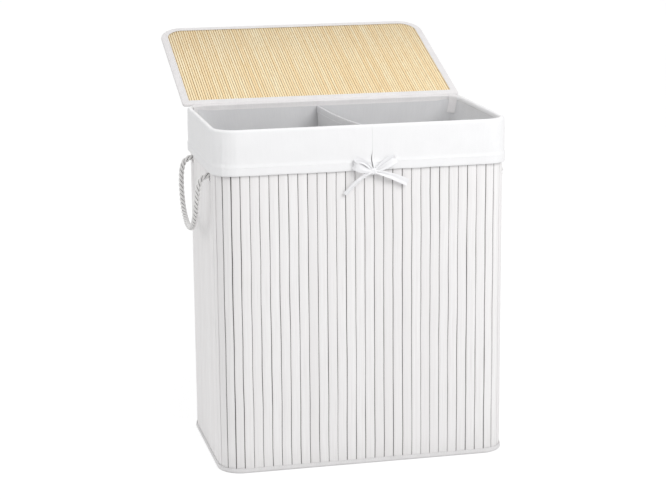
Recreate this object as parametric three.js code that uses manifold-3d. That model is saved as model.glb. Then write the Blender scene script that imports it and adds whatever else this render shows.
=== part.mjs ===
// Laundry hamper with two bins: a bamboo slat basket on two wire frames, with a cloth liner whose cuff
// folds over the rim, a lid on a cloth hinge and a rope handle on each side.
// Millimetres. +X is right, +Y is back and +Z is up. The origin is the middle of the base, on the floor.
import * as THREE from "three";
import { mergeVertices } from "three/addons/utils/BufferGeometryUtils.js";
import Module from "manifold-3d";

const wasm = await Module();
wasm.setup();

// Space between pieces that touch, and how far a cutting shape runs past what it cuts
const seat = 0.3;
const overrun = 5;

// Basket, measured on the outer faces of its slats, and the height of the cuff's fold over the rim
const basketWidth = 518;
const basketDepth = 318;
const basketCornerRadius = 41;
const rimHeight = 609;

// Bamboo slats and the cloth that they are glued to
const slatPitch = 16.8;
const slatGap = 1.2;
const slatThickness = 1.8;
const slatChamfer = 0.4;
const backingThickness = 1;

// Wire frames in the rim, the base and the lid, and the bindings sewn round them
const wireDiameter = 4;
const wireRoom = 0.45;
const bindingThickness = 0.8;
const rimBindingDrop = 21;
const baseBindingHeight = 9;

// Liner, its cuff and the divider between the bins
const linerThickness = 0.9;
const cuffHeight = 79;
const cuffInsideDrop = 20;
const cuffEndTurn = 25;
const seamX = 13;
const slitHeight = 44;
const slitHalfWidth = 3.2;
const hemHeight = 16;
const linerTaperDrop = 56;
const dividerFrontX = -7;
const dividerRearX = -12;
const dividerThickness = 1.8;
const dividerTopDrop = 6;
const dividerSag = 6;
const dividerHemHeight = 14;
const dividerHemThickness = 2.8;

// Ribbon that runs in the cuff's hem and is tied in a bow at the front
const ribbonThickness = 0.8;
const ribbonWidth = 11;

// Loops over the rim at the rear corners
const rimLoopTurn = 28;
const rimLoopSpan = 22;

// Lid
const lidOpenAngle = 160.57;
const lidCornerRadius = 45;
const lidHingeCornerRadius = 6;
const lidOverhang = 1.5;
const lidLift = 0.6;
const lidBindingReach = 13.5;
const stripPitch = 4.7;
const stripGroove = 0.9;
const stripThickness = 1;
const stripBacking = 0.6;
const hingeRoom = 0.4;
const hingeTapeThickness = 0.8;
const hingeTapeHeight = 34;
const leastCornerRadius = 1;

// Rope handles
const ropeDiameter = 10;
const ropeBelowCuff = 3;
const handleHoleSlats = 5.5;
const knotRingRadius = 5.2;
const knotTubeRadius = 4.4;
const ropeSides = 8;
const ropeSteps = 28;
const knotSteps = 10;

// The left loop stands off the wall, and the right one hangs flat against it. Each has its pivot this far
// out from the slats, and leaves it at this angle below level
const leftHandle = { name: "left", side: -1, axisOut: 12, startDegrees: 60 };
const rightHandle = { name: "right", side: 1, axisOut: 7, startDegrees: 90 };

// Bow, seen from the front: how far each loop and tail reaches and which way it points
const knotWidth = 15;
const knotHeight = 12;
const knotDepth = 9;
const knotDrop = 5;
const tailForward = 2.8;
const leftLoop = { reach: 46, degrees: 154, depth: 8 };
const rightLoop = { reach: 44, degrees: 42, depth: 9 };
const leftTail = { reach: 68, degrees: 206, depth: 5 };
const rightTail = { reach: 62, degrees: -17, depth: 5 };

// Roundness of folds and wires: an even number of steps gives a fold a point at its crest
const foldSteps = 4;
const wireSides = 6;

// Finishes
const finish = (color, roughness, metalness = 0) =>
  new THREE.MeshStandardMaterial({ color, roughness, metalness });
const paintedBamboo = finish(0xeceae8, 0.6);
const plainBamboo = finish(0xe6cfa0, 0.55);
const linerCloth = finish(0xf4f4f4, 0.9);
const bindingCloth = finish(0xe8e4e6, 0.9);
const ribbonCloth = finish(0xf7f7f7, 0.8);
const ropeFibre = finish(0xe4e2e0, 0.9);
const steel = finish(0x9a9a9c, 0.4, 0.9);

const hamper = new THREE.Group();

function add(name, geometry, material, parent = hamper) {
  const mesh = new THREE.Mesh(geometry, material);
  mesh.name = name;
  parent.add(mesh);
  return mesh;
}

const range = (count) => [...Array(count).keys()];
const radians = THREE.MathUtils.degToRad;

// Plan outlines: rounded rectangles about the origin, with their own radius at the front and the rear

function outline(width, depth, frontRadius, rearRadius) {
  return { halfWidth: width / 2, halfDepth: depth / 2, frontRadius, rearRadius };
}

function grow(plan, out) {
  return {
    halfWidth: plan.halfWidth + out,
    halfDepth: plan.halfDepth + out,
    frontRadius: Math.max(plan.frontRadius + out, leastCornerRadius),
    rearRadius: Math.max(plan.rearRadius + out, leastCornerRadius),
  };
}

// The corners, anticlockwise seen from above, with the turn at which each arc starts
const quarter = Math.PI / 2;
const rightAngle = 90;
const frontRight = { sideX: 1, sideY: -1, start: -quarter };
const rearRight = { sideX: 1, sideY: 1, start: 0 };
const rearLeft = { sideX: -1, sideY: 1, start: quarter };
const frontLeft = { sideX: -1, sideY: -1, start: 2 * quarter };

const basket = outline(basketWidth, basketDepth, basketCornerRadius, basketCornerRadius);
const cornerSlats = Math.max(Math.round((basketCornerRadius * quarter) / slatPitch), 2);
const cornerSteps = 2 * cornerSlats;

// A station is a place on the way round: given an outline, it says where that outline passes there
const onCorner = (corner, share) => (plan) => {
  const radius = corner.sideY < 0 ? plan.frontRadius : plan.rearRadius;
  const turn = corner.start + quarter * share;
  return new THREE.Vector2(
    corner.sideX * (plan.halfWidth - radius) + radius * Math.cos(turn),
    corner.sideY * (plan.halfDepth - radius) + radius * Math.sin(turn),
  );
};
const onFront = (x) => (plan) => new THREE.Vector2(x, -plan.halfDepth);
const moved = (station, x) => (plan) => station(plan).add(new THREE.Vector2(x, 0));

function roundCorner(corner, from = 0, to = 1) {
  const inner = range(cornerSteps - 1)
    .map((i) => (i + 1) / cornerSteps)
    .filter((share) => share > from && share < to);
  return [from, ...inner, to].map((share) => onCorner(corner, share));
}

const allRound = [frontRight, rearRight, rearLeft, frontLeft].flatMap((corner) => roundCorner(corner));

// A closed skin over rows of points, each row one closed section, the rows in order along the piece
function skin(rows, flatSection, isRing) {
  const count = flatSection.length;
  const index = [];
  const spans = isRing ? rows.length : rows.length - 1;
  for (const i of range(spans)) {
    const j = (i + 1) % rows.length;
    for (const k of range(count)) {
      const l = (k + 1) % count;
      index.push(i * count + k, j * count + k, j * count + l);
      index.push(i * count + k, j * count + l, i * count + l);
    }
  }
  if (!isRing) {
    const last = (rows.length - 1) * count;
    const backwards = THREE.ShapeUtils.isClockWise(flatSection);
    for (const [a, b, c] of THREE.ShapeUtils.triangulateShape(flatSection, [])) {
      const near = backwards ? [a, c, b] : [a, b, c];
      index.push(...near, ...near.toReversed().map((n) => n + last));
    }
  }
  const positions = rows.flat().flatMap((p) => [p.x, p.y, p.z]);
  const geometry = new THREE.BufferGeometry();
  geometry.setAttribute("position", new THREE.Float32BufferAttribute(positions, 3));
  geometry.setIndex(index);
  return outwards(geometry);
}

// Turns every face of a closed geometry round if they point inwards
function outwards(geometry) {
  const p = geometry.getAttribute("position");
  const index = geometry.getIndex().array;
  const corner = (i) => new THREE.Vector3().fromBufferAttribute(p, index[i]);
  let volume = 0;
  for (let i = 0; i < index.length; i += 3) {
    volume += corner(i).dot(corner(i + 1).cross(corner(i + 2)));
  }
  if (volume < 0) index.reverse();
  return geometry;
}

// Sweeps an upright section of (out, height) points round the stations of a plan outline
function sweep(plan, stations, section, isRing = false) {
  const rows = stations.map((station) =>
    section.map(({ x: out, y: height }) => {
      const place = station(grow(plan, out));
      return new THREE.Vector3(place.x, place.y, height);
    }),
  );
  return skin(rows, section, isRing);
}

// The section of a strip of cloth, of a given thickness, that follows a line of (out, height) points
function strip(line, thickness) {
  const left = [];
  const right = [];
  line.forEach((point, i) => {
    const before = point.clone().sub(line[Math.max(i - 1, 0)]);
    const after = line[Math.min(i + 1, line.length - 1)].clone().sub(point);
    if (i === 0) before.copy(after);
    if (i === line.length - 1) after.copy(before);
    before.normalize();
    after.normalize();
    const normal = new THREE.Vector2(-(before.y + after.y), before.x + after.x).normalize();
    const reach = thickness / 2 / (normal.y * before.x - normal.x * before.y);
    left.push(point.clone().addScaledVector(normal, reach));
    right.unshift(point.clone().addScaledVector(normal, -reach));
  });
  return [...left, ...right];
}

const at = (out, height) => new THREE.Vector2(out, height);

function arc(centre, radius, from, to, steps = foldSteps) {
  return range(steps + 1).map((i) => {
    const turn = from + ((to - from) * i) / steps;
    return at(centre.x + radius * Math.cos(turn), centre.y + radius * Math.sin(turn));
  });
}

// Joins and cuts of closed geometries

function solidOf(geometry) {
  const bare = geometry.clone();
  bare.deleteAttribute("normal");
  bare.deleteAttribute("uv");
  const merged = mergeVertices(bare);
  return new wasm.Manifold(
    new wasm.Mesh({
      numProp: 3,
      vertProperties: new Float32Array(merged.getAttribute("position").array),
      triVerts: new Uint32Array(merged.getIndex().array),
    }),
  );
}

function geometryOf(solid) {
  const mesh = solid.getMesh();
  const geometry = new THREE.BufferGeometry();
  geometry.setAttribute("position", new THREE.BufferAttribute(mesh.vertProperties, 3));
  geometry.setIndex(new THREE.BufferAttribute(mesh.triVerts, 1));
  geometry.computeVertexNormals();
  return geometry;
}

const join = (...pieces) => geometryOf(pieces.map(solidOf).reduce((a, b) => a.add(b)));
const cut = (piece, ...tools) =>
  geometryOf(tools.map(solidOf).reduce((a, b) => a.subtract(b), solidOf(piece)));
const overlapOf = (a, b) => geometryOf(solidOf(a).intersect(solidOf(b)));

// An upright prism over a plan outline or a list of plan points
function prism(points, bottom, height) {
  const geometry = new THREE.ExtrudeGeometry(new THREE.Shape(points), {
    depth: height,
    bevelEnabled: false,
  });
  return geometry.translate(0, 0, bottom);
}

const planPoints = (plan) => allRound.map((station) => station(plan));

// Where the layers of the wall lie, counted outwards from the slats' outer faces
const wallThickness = slatThickness + backingThickness;
const wallMiddle = -wallThickness / 2;
const noseRadius = wireDiameter / 2 + wireRoom + bindingThickness;
const linerOut = wallMiddle - noseRadius - seat - linerThickness / 2;
const cuffOut = wallMiddle + noseRadius + seat + linerThickness / 2;
const cuffFoldRadius = cuffOut - wallMiddle;
const rimNoseHeight = rimHeight - cuffFoldRadius - linerThickness / 2;
const hemPitch = linerThickness + ribbonThickness + 2 * seat;
const hemReturnOut = 2 * seat + linerThickness;
const hemOut = hemReturnOut + hemPitch;
const hemFace = hemOut + linerThickness / 2;
const cuffBottom = rimHeight - cuffHeight;

// Slats

// The outer edge of a row of slats: teeth between the joints on the face, down to the roots
function slatTeeth(faces, roots) {
  const chamferShare = slatChamfer / slatThickness;
  return range(faces.length - 1).flatMap((i) => {
    const along = faces[i + 1].clone().sub(faces[i]).normalize();
    const step = (point, length) => point.clone().addScaledVector(along, length);
    const side = slatGap / 2;
    return [
      step(roots[i], side),
      step(faces[i].clone().lerp(roots[i], chamferShare), side),
      step(faces[i], side + slatChamfer),
      step(faces[i + 1], -side - slatChamfer),
      step(faces[i + 1].clone().lerp(roots[i + 1], chamferShare), -side),
      step(roots[i + 1], -side),
    ];
  });
}

// Shifts the first and last points of a line inwards along it, which opens the seam to the next piece
function openEnds(line, gap) {
  const ends = line.map((point) => point.clone());
  const last = line.length - 1;
  const first = line[1].clone().sub(line[0]).normalize();
  const final = line[last - 1].clone().sub(line[last]).normalize();
  ends[0].addScaledVector(first, gap / 2);
  ends[last].addScaledVector(final, gap / 2);
  return ends;
}

const evenly = (from, to, count) => range(count + 1).map((i) => from.clone().lerp(to, i / count));

const arcPoints = (corner, plan, count) =>
  range(count + 1).map((i) => onCorner(corner, i / count)(plan));

// The joints between the slats of a stretch, and the line of its cloth, which is finer round a corner
const slatJoints = ({ corner, from, to, slats }, plan) =>
  corner ? arcPoints(corner, plan, slats) : evenly(from(plan), to(plan), slats);
const clothLine = ({ corner, from, to }, plan) =>
  corner ? arcPoints(corner, plan, cornerSteps) : [from(plan), to(plan)];

// A run of slats along straight and round stretches, glued to its cloth, as a plan outline
function slatRun(stretches) {
  const lineAt = (out, pointsOf) =>
    stretches.flatMap((stretch, i) => {
      const points = pointsOf(stretch, grow(basket, out));
      return i === 0 ? points : points.slice(1);
    });
  const roots = lineAt(-slatThickness, slatJoints);
  const seams = openEnds(roots, seat);
  const teeth = slatTeeth(lineAt(0, slatJoints), roots);
  const cloth = openEnds(lineAt(-wallThickness, clothLine), seat);
  return [seams[0], ...teeth, seams[seams.length - 1], ...cloth.reverse()];
}

const frontFlat = basketWidth - 2 * basketCornerRadius;
const sideFlat = basketDepth - 2 * basketCornerRadius;
const frontSlats = Math.round(frontFlat / slatPitch);
const sideSlats = Math.round(sideFlat / slatPitch);
const straight = (from, to, slats) => ({ from, to, slats });
const round = (corner) => ({ corner, slats: cornerSlats });
const matBottom = noseRadius + wireDiameter / 2 + seat;
const matTop = rimNoseHeight - wireDiameter / 2 - seat;
const mat = (stretches) => prism(slatRun(stretches), matBottom, matTop - matBottom);

const ropeHeight = cuffBottom - ropeDiameter / 2 - ropeBelowCuff;
const ropeY = (handleHoleSlats * sideFlat) / sideSlats;

// The two holes that the rope passes through in a side mat
function ropeHoles(side) {
  return [-ropeY, ropeY].map((y) => {
    const hole = new THREE.CylinderGeometry(
      ropeDiameter / 2 + seat,
      ropeDiameter / 2 + seat,
      wallThickness + 2 * overrun,
      2 * ropeSides,
    );
    return hole.rotateZ(quarter).translate(side * (basket.halfWidth + wallMiddle), y, ropeHeight);
  });
}

add(
  "front_slat_mat",
  mat([straight(onCorner(frontLeft, 1), onCorner(frontRight, 0), frontSlats)]),
  paintedBamboo,
);
add(
  "back_slat_mat",
  mat([straight(onCorner(rearRight, 1), onCorner(rearLeft, 0), frontSlats)]),
  paintedBamboo,
);
add(
  "right_slat_mat",
  cut(
    mat([
      round(frontRight),
      straight(onCorner(frontRight, 1), onCorner(rearRight, 0), sideSlats),
      round(rearRight),
    ]),
    ...ropeHoles(1),
  ),
  paintedBamboo,
);
add(
  "left_slat_mat",
  cut(
    mat([
      round(rearLeft),
      straight(onCorner(rearLeft, 1), onCorner(frontLeft, 0), sideSlats),
      round(frontLeft),
    ]),
    ...ropeHoles(-1),
  ),
  paintedBamboo,
);

// Bindings: a strip of cloth folded round a wire, with a leg down each face of the wall

// up is 1 for a fold that points up, as on the rim, and -1 for one that points down, as on the base
function foldedBinding(noseHeight, legEnd, up) {
  const middle = bindingThickness / 2;
  const leg = wallThickness / 2 + seat + middle;
  const fold = noseRadius - middle;
  const centre = at(wallMiddle, noseHeight);
  const nose = arc(centre, fold, 0, up * 2 * quarter);
  const shoulder = noseHeight - up * fold;
  const line = [
    at(wallMiddle + leg, legEnd),
    at(wallMiddle + leg, shoulder),
    ...nose,
    at(wallMiddle - leg, shoulder),
    at(wallMiddle - leg, legEnd),
  ];
  return strip(line, bindingThickness);
}

function wireRing(plan, centre) {
  const section = arc(centre, wireDiameter / 2, 0, 4 * quarter, wireSides).slice(0, -1);
  return sweep(plan, allRound, section, true);
}

const rimLegEnd = rimHeight - rimBindingDrop;
add("rim_wire_frame", wireRing(basket, at(wallMiddle, rimNoseHeight)), steel);
add(
  "rim_binding",
  sweep(basket, allRound, foldedBinding(rimNoseHeight, rimLegEnd, 1), true),
  bindingCloth,
);
add("base_wire_frame", wireRing(basket, at(wallMiddle, noseRadius)), steel);
add(
  "base_binding",
  sweep(basket, allRound, foldedBinding(noseRadius, baseBindingHeight, -1), true),
  bindingCloth,
);

// Rows of slats laid flat, cut to a rounded outline

// A row of slats across X, drawn in (x, height): the slats' faces point up, or down for flip -1
function flatSlats(halfWidth, count, faceHeight, flip) {
  const row = (height) => evenly(at(-halfWidth, height), at(halfWidth, height), count);
  const faces = row(faceHeight);
  const roots = row(faceHeight - flip * slatThickness);
  const cloth = faceHeight - flip * wallThickness;
  return [roots[0], ...slatTeeth(faces, roots), roots[count], at(halfWidth, cloth), at(-halfWidth, cloth)];
}

// Carries a section in (x, height) through the full depth of an outline, and trims it to the outline
function trimmedMat(section, plan, bottom, top) {
  const lengthways = new THREE.ExtrudeGeometry(new THREE.Shape(section), {
    depth: 2 * (plan.halfDepth + overrun),
    bevelEnabled: false,
  });
  lengthways.rotateX(quarter).translate(0, plan.halfDepth + overrun, 0);
  return overlapOf(lengthways, prism(planPoints(plan), bottom - overrun, top - bottom + 2 * overrun));
}

// The base has an odd number of slats, so that one of them lies over the origin
const basePlan = grow(basket, wallMiddle - noseRadius - seat);
const baseSlats = 2 * Math.round((2 * basePlan.halfWidth) / slatPitch / 2) + 1;
add(
  "base_slat_mat",
  trimmedMat(
    flatSlats(basePlan.halfWidth + overrun, baseSlats, 0, -1),
    basePlan,
    0,
    wallThickness,
  ),
  paintedBamboo,
);

// Liner

// Below the rim the liner's sides draw in, clear of the rope's knots
const knotDepthIn = wallThickness + seat + 2 * knotTubeRadius + seat;
const sideDraw = knotDepthIn + linerOut + linerThickness / 2;
const linerFloorHeight = wallThickness + seat + linerThickness / 2;
const linerBottom = wallThickness + seat;
const linerTop = rimHeight - cuffInsideDrop - seat;
const backLinerTop = rimNoseHeight - seat;
const taperHeight = rimHeight - linerTaperDrop;
const drawnIn = (plan) => ({ ...plan, halfWidth: plan.halfWidth - sideDraw });

// A liner panel hangs from its top, at the rim's outline, to the drawn-in outline below the taper
function linerPanel(stations, top) {
  const levels = [
    { height: linerBottom, shape: drawnIn },
    { height: taperHeight, shape: drawnIn },
    { height: top, shape: (plan) => plan },
  ];
  const faces = [
    ...levels.map((level) => ({ ...level, out: linerOut + linerThickness / 2 })),
    ...levels.toReversed().map((level) => ({ ...level, out: linerOut - linerThickness / 2 })),
  ];
  const rows = stations.map((station) =>
    faces.map(({ height, shape, out }) => {
      const place = station(shape(grow(basket, out)));
      return new THREE.Vector3(place.x, place.y, height);
    }),
  );
  return skin(rows, faces.map(({ out, height }) => at(out, height)), false);
}

add(
  "liner_front_panel",
  linerPanel([moved(onCorner(frontLeft, 1), seat), moved(onCorner(frontRight, 0), -seat)], linerTop),
  linerCloth,
);
add(
  "liner_back_panel",
  linerPanel([moved(onCorner(rearRight, 1), -seat), moved(onCorner(rearLeft, 0), seat)], backLinerTop),
  linerCloth,
);
add(
  "liner_right_panel",
  linerPanel([...roundCorner(frontRight), ...roundCorner(rearRight)], linerTop),
  linerCloth,
);
add(
  "liner_left_panel",
  linerPanel([...roundCorner(rearLeft), ...roundCorner(frontLeft)], linerTop),
  linerCloth,
);

// Divider, its top edge sagging between the front and the back panel, with a hem along it
const linerInside = grow(basket, linerOut - linerThickness / 2);
const dividerHalfLength = linerInside.halfDepth - seat;
const dividerTop = rimHeight - dividerTopDrop;
const dividerX = (dividerFrontX + dividerRearX) / 2;
const sagSteps = 12;

function saggingEdge(top) {
  return range(sagSteps + 1).map((i) => {
    const share = (2 * i) / sagSteps - 1;
    return at(share * dividerHalfLength, top - dividerSag * (1 - share * share));
  });
}

// A band of cloth in the plane of the divider, between a lower and an upper edge drawn in (y, height)
function dividerBand(lower, upper, thickness) {
  const band = new THREE.ExtrudeGeometry(new THREE.Shape([...lower, ...upper.toReversed()]), {
    depth: thickness,
    bevelEnabled: false,
  });
  return band.rotateX(quarter).rotateZ(quarter).translate(-thickness / 2, 0, 0);
}

const dividerFoot = [at(-dividerHalfLength, linerBottom), at(dividerHalfLength, linerBottom)];
const divider = join(
  dividerBand(dividerFoot, saggingEdge(dividerTop), dividerThickness),
  dividerBand(saggingEdge(dividerTop - dividerHemHeight), saggingEdge(dividerTop), dividerHemThickness),
);
const dividerMesh = add("liner_divider", divider, linerCloth);
dividerMesh.position.x = dividerX;
dividerMesh.rotation.z = Math.atan2(dividerFrontX - dividerRearX, 2 * dividerHalfLength);

// The floor of each bin
function binFloor(corners, side) {
  const plan = grow(drawnIn(linerInside), -seat);
  const round = corners.flatMap((corner) => roundCorner(corner).map((station) => station(plan)));
  const clear = side * (dividerThickness / 2 + 2 * seat);
  const rear = at(dividerRearX + clear, plan.halfDepth);
  const front = at(dividerFrontX + clear, -plan.halfDepth);
  const points = side < 0 ? [...round, front, rear] : [...round, rear, front];
  return prism(points, linerFloorHeight - linerThickness / 2, linerThickness);
}

add("liner_left_floor", binFloor([rearLeft, frontLeft], -1), linerCloth);
add("liner_right_floor", binFloor([frontRight, rearRight], 1), linerCloth);

// Cuff: it runs from inside the rim over the fold and down the outside, and its foot is turned up into a
// hem that the ribbon runs in

const rimFold = arc(at(wallMiddle, rimNoseHeight), cuffFoldRadius, 2 * quarter, 0, foldSteps + 2);
const hemRadius = hemPitch / 2;
const hemCentre = at(hemOut - hemRadius, cuffBottom + hemRadius + linerThickness / 2);
const cuffSection = strip(
  [
    at(linerOut, rimHeight - cuffInsideDrop),
    ...rimFold,
    at(cuffOut, cuffBottom + hemHeight + hemPitch),
    at(hemOut, cuffBottom + hemHeight),
    ...arc(hemCentre, hemRadius, 0, -2 * quarter),
    at(hemReturnOut, cuffBottom + hemHeight - hemPitch),
  ],
  linerThickness,
);

const cuffEndShare = cuffEndTurn / rightAngle;
const leftCuffWay = (x) => [
  ...roundCorner(rearLeft, 1 - cuffEndShare, 1),
  ...roundCorner(frontLeft),
  onFront(x),
];
const rightCuffWay = (x) => [
  onFront(x),
  ...roundCorner(frontRight),
  ...roundCorner(rearRight, 0, cuffEndShare),
];

// The slit under the seam, where the ribbon comes out of the hem
const frontFace = -basket.halfDepth;
const slit = prism(
  [
    at(seamX - slitHalfWidth, 0),
    at(seamX + slitHalfWidth, 0),
    at(seamX + seat, slitHeight + overrun),
    at(seamX - seat, slitHeight + overrun),
  ],
  0,
  hemFace + 2 * overrun,
)
  .rotateX(quarter)
  .translate(0, frontFace + overrun, cuffBottom - overrun);

add("cuff_left_half", cut(sweep(basket, leftCuffWay(seamX - seat / 2), cuffSection), slit), linerCloth);
add("cuff_right_half", cut(sweep(basket, rightCuffWay(seamX + seat / 2), cuffSection), slit), linerCloth);

// Ribbon in the hem, up to the slit
const ribbonOut = hemOut - hemPitch / 2;
const ribbonBottom = cuffBottom + linerThickness + hemRadius;
const ribbonSection = [
  at(ribbonOut - ribbonThickness / 2, ribbonBottom),
  at(ribbonOut + ribbonThickness / 2, ribbonBottom),
  at(ribbonOut + ribbonThickness / 2, ribbonBottom + ribbonWidth),
  at(ribbonOut - ribbonThickness / 2, ribbonBottom + ribbonWidth),
];
const ribbonEnd = slitHalfWidth + seat;
add("hem_ribbon_left", sweep(basket, leftCuffWay(seamX - ribbonEnd), ribbonSection), ribbonCloth);
add("hem_ribbon_right", sweep(basket, rightCuffWay(seamX + ribbonEnd), ribbonSection), ribbonCloth);

// Loops of tape over the rim at the rear corners, which hold the liner's rear edge
const rimLoopSection = strip(
  [at(linerOut, rimHeight - cuffInsideDrop), ...rimFold, at(cuffOut, rimHeight - cuffInsideDrop)],
  linerThickness,
);
const loopFrom = rimLoopTurn / rightAngle;
const loopTo = (rimLoopTurn + rimLoopSpan) / rightAngle;
add(
  "rim_loop_right",
  sweep(basket, roundCorner(rearRight, loopFrom, loopTo), rimLoopSection),
  bindingCloth,
);
add(
  "rim_loop_left",
  sweep(basket, roundCorner(rearLeft, 1 - loopTo, 1 - loopFrom), rimLoopSection),
  bindingCloth,
);

// Bow: each loop and each tail is a strip of ribbon, drawn along its own way out from the knot

const bowY = frontFace - hemFace - seat - knotDepth / 2;
const bowHeight = cuffBottom - knotDrop + knotHeight / 2;
const knotClear = knotWidth / 2 + seat;

const knot = new THREE.SphereGeometry(1, 2 * wireSides, ropeSides);
knot.scale(knotWidth / 2, knotDepth / 2, knotHeight / 2).translate(seamX, bowY, bowHeight);
add("bow_knot", knot, ribbonCloth);

// Places a piece drawn with its way out along X and the ribbon's width along Z
function placeRibbon(geometry, degrees) {
  return geometry.rotateY(-radians(degrees)).translate(seamX, bowY, bowHeight);
}

function ribbonShape(shape) {
  const piece = new THREE.ExtrudeGeometry(shape, {
    depth: ribbonWidth,
    bevelEnabled: false,
    curveSegments: 1,
  });
  return piece.translate(0, 0, -ribbonWidth / 2);
}

const teardropSteps = 14;

// The ribbon leaves the knot, swells to its turn at the tip and comes back under itself
function bowLoop({ reach, degrees, depth }) {
  const line = range(teardropSteps + 1).map((i) => {
    const turn = (4 * quarter * i) / teardropSteps;
    const share = (1 - Math.cos(turn)) / 2;
    const swell = Math.sin(turn) * Math.sqrt(share);
    return at(
      knotClear + (reach - knotClear) * share,
      (swell * depth) / 2 + Math.cos(turn / 2) * ribbonThickness,
    );
  });
  return placeRibbon(ribbonShape(new THREE.Shape(strip(line, ribbonThickness))), degrees);
}

const tailSteps = 8;

function bowTail({ reach, degrees, depth }) {
  const line = range(tailSteps + 1).map((i) => {
    const share = i / tailSteps;
    const wave = Math.sin(2 * quarter * share);
    return at(knotClear + (reach - knotClear) * share, -tailForward - (wave * depth) / 2);
  });
  return placeRibbon(ribbonShape(new THREE.Shape(strip(line, ribbonThickness))), degrees);
}

add("bow_left_loop", bowLoop(leftLoop), ribbonCloth);
add("bow_right_loop", bowLoop(rightLoop), ribbonCloth);
add("bow_left_tail", bowTail(leftTail), ribbonCloth);
add("bow_right_tail", bowTail(rightTail), ribbonCloth);

// Rope handles

// Half of each loop's middle line, from its front exit: out from the slats, along Y, and up from the exit
const ropeRadius = ropeDiameter / 2;
const startReach = ropeRadius + seat;
leftHandle.route = [
  [18.7, -93.4, -11.6],
  [22.9, -91.5, -21],
  [26.4, -87.5, -34],
  [29, -80.5, -50],
  [30.4, -70, -67],
  [31, -56, -83],
  [31, -38.5, -95.5],
  [30.8, -19.5, -103.5],
  [30.6, 0, -106],
];
rightHandle.route = [
  [7, -91.8, -14],
  [7, -88, -28],
  [7, -82, -43],
  [7, -74, -59],
  [7, -62.5, -76],
  [7, -46.5, -92],
  [7, -25, -103],
  [7, 0, -107],
];

function ropeLoop({ side, axisOut, startDegrees, route }) {
  const drop = radians(startDegrees);
  const start = [axisOut + startReach * Math.cos(drop), -ropeY, -startReach * Math.sin(drop)];
  const half = [start, ...route];
  const rear = half.slice(0, -1).toReversed().map(([out, y, up]) => [out, -y, up]);
  const points = [...half, ...rear].map(
    ([out, y, up]) => new THREE.Vector3(side * (basket.halfWidth + out), y, ropeHeight + up),
  );
  const section = new THREE.Shape(arc(at(0, 0), ropeRadius, 0, 4 * quarter, ropeSides).slice(0, -1));
  return new THREE.ExtrudeGeometry(section, {
    steps: ropeSteps,
    extrudePath: new THREE.CatmullRomCurve3(points),
    bevelEnabled: false,
  });
}

// The end of a rope: its knot inside the wall, its way out through the hole, and the bend at the pivot
function ropeEnd({ side, axisOut }, y) {
  const knotOut = -wallThickness - seat - knotTubeRadius;
  const length = axisOut - knotOut;
  const through = new THREE.CylinderGeometry(ropeRadius, ropeRadius, length, ropeSides);
  through.rotateZ(quarter).translate(knotOut + length / 2, 0, 0);
  const bend = new THREE.SphereGeometry(ropeRadius, ropeSides, ropeSides / 2);
  bend.translate(axisOut, 0, 0);
  const ring = new THREE.TorusGeometry(knotRingRadius, knotTubeRadius, wireSides, knotSteps);
  ring.rotateY(quarter).translate(knotOut, 0, 0);
  const end = join(through, bend, ring);
  if (side < 0) end.rotateZ(2 * quarter);
  return end.translate(side * basket.halfWidth, y, ropeHeight);
}

for (const handle of [leftHandle, rightHandle]) {
  add(`${handle.name}_rope_loop`, ropeLoop(handle), ropeFibre);
  add(`${handle.name}_rope_front_end`, ropeEnd(handle, -ropeY), ropeFibre);
  add(`${handle.name}_rope_rear_end`, ropeEnd(handle, ropeY), ropeFibre);
}

// Lid: drawn closed, with its underside at height zero and the hinge line at its rear edge

const matsThickness = stripThickness + stripBacking + seat + wallThickness;
const lidThickness = matsThickness + 2 * (bindingThickness + seat);
const lidNose = lidThickness / 2;
const turnBack = -radians(lidOpenAngle);

// Open, the lid's rear nose bears on the tape over the rear rim: that seat sets the hinge line
const hingeHeight = rimHeight + lidLift;
const noseFromHinge = at(-seat - lidNose, lidNose).rotateAround(at(0, 0), turnBack);
const noseRise = hingeHeight + noseFromHinge.y - rimNoseHeight;
const noseReach = noseRadius + lidNose + hingeRoom;
const hingeY =
  basket.halfDepth + wallMiddle + Math.sqrt(noseReach ** 2 - noseRise ** 2) - noseFromHinge.x;

const lidHalfWidth = basket.halfWidth + hemFace + lidOverhang;
const lidDepth = hingeY - seat + basket.halfDepth + hemFace + lidOverhang;
const lidPlan = outline(2 * lidHalfWidth, lidDepth, lidCornerRadius, lidHingeCornerRadius);

const lid = new THREE.Group();
lid.position.set(0, hingeY, hingeHeight);
lid.rotation.x = turnBack;
hamper.add(lid);

// Pieces drawn about the middle of the lid are moved so that its rear edge lies at the hinge
const behindHinge = -seat - lidDepth / 2;
const addToLid = (name, geometry, material) =>
  add(name, geometry.translate(0, behindHinge, 0), material, lid);

const lidFold = lidNose - bindingThickness / 2;
const lidBindingSection = strip(
  [
    at(-lidBindingReach, bindingThickness / 2),
    ...arc(at(-lidNose, lidNose), lidFold, -quarter, quarter, foldSteps + 1),
    at(-lidBindingReach, lidThickness - bindingThickness / 2),
  ],
  bindingThickness,
);
addToLid("lid_binding", sweep(lidPlan, allRound, lidBindingSection, true), bindingCloth);
addToLid("lid_wire_frame", wireRing(lidPlan, at(-lidNose, lidNose)), steel);

const lidMatPlan = grow(lidPlan, -lidNose - wireDiameter / 2 - seat);
const outerFace = lidThickness - bindingThickness - seat;
const lidSlats = Math.round((2 * lidMatPlan.halfWidth) / slatPitch);
addToLid(
  "lid_outer_mat",
  trimmedMat(
    flatSlats(lidMatPlan.halfWidth + overrun, lidSlats, outerFace, 1),
    lidMatPlan,
    outerFace - wallThickness,
    outerFace,
  ),
  paintedBamboo,
);

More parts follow.
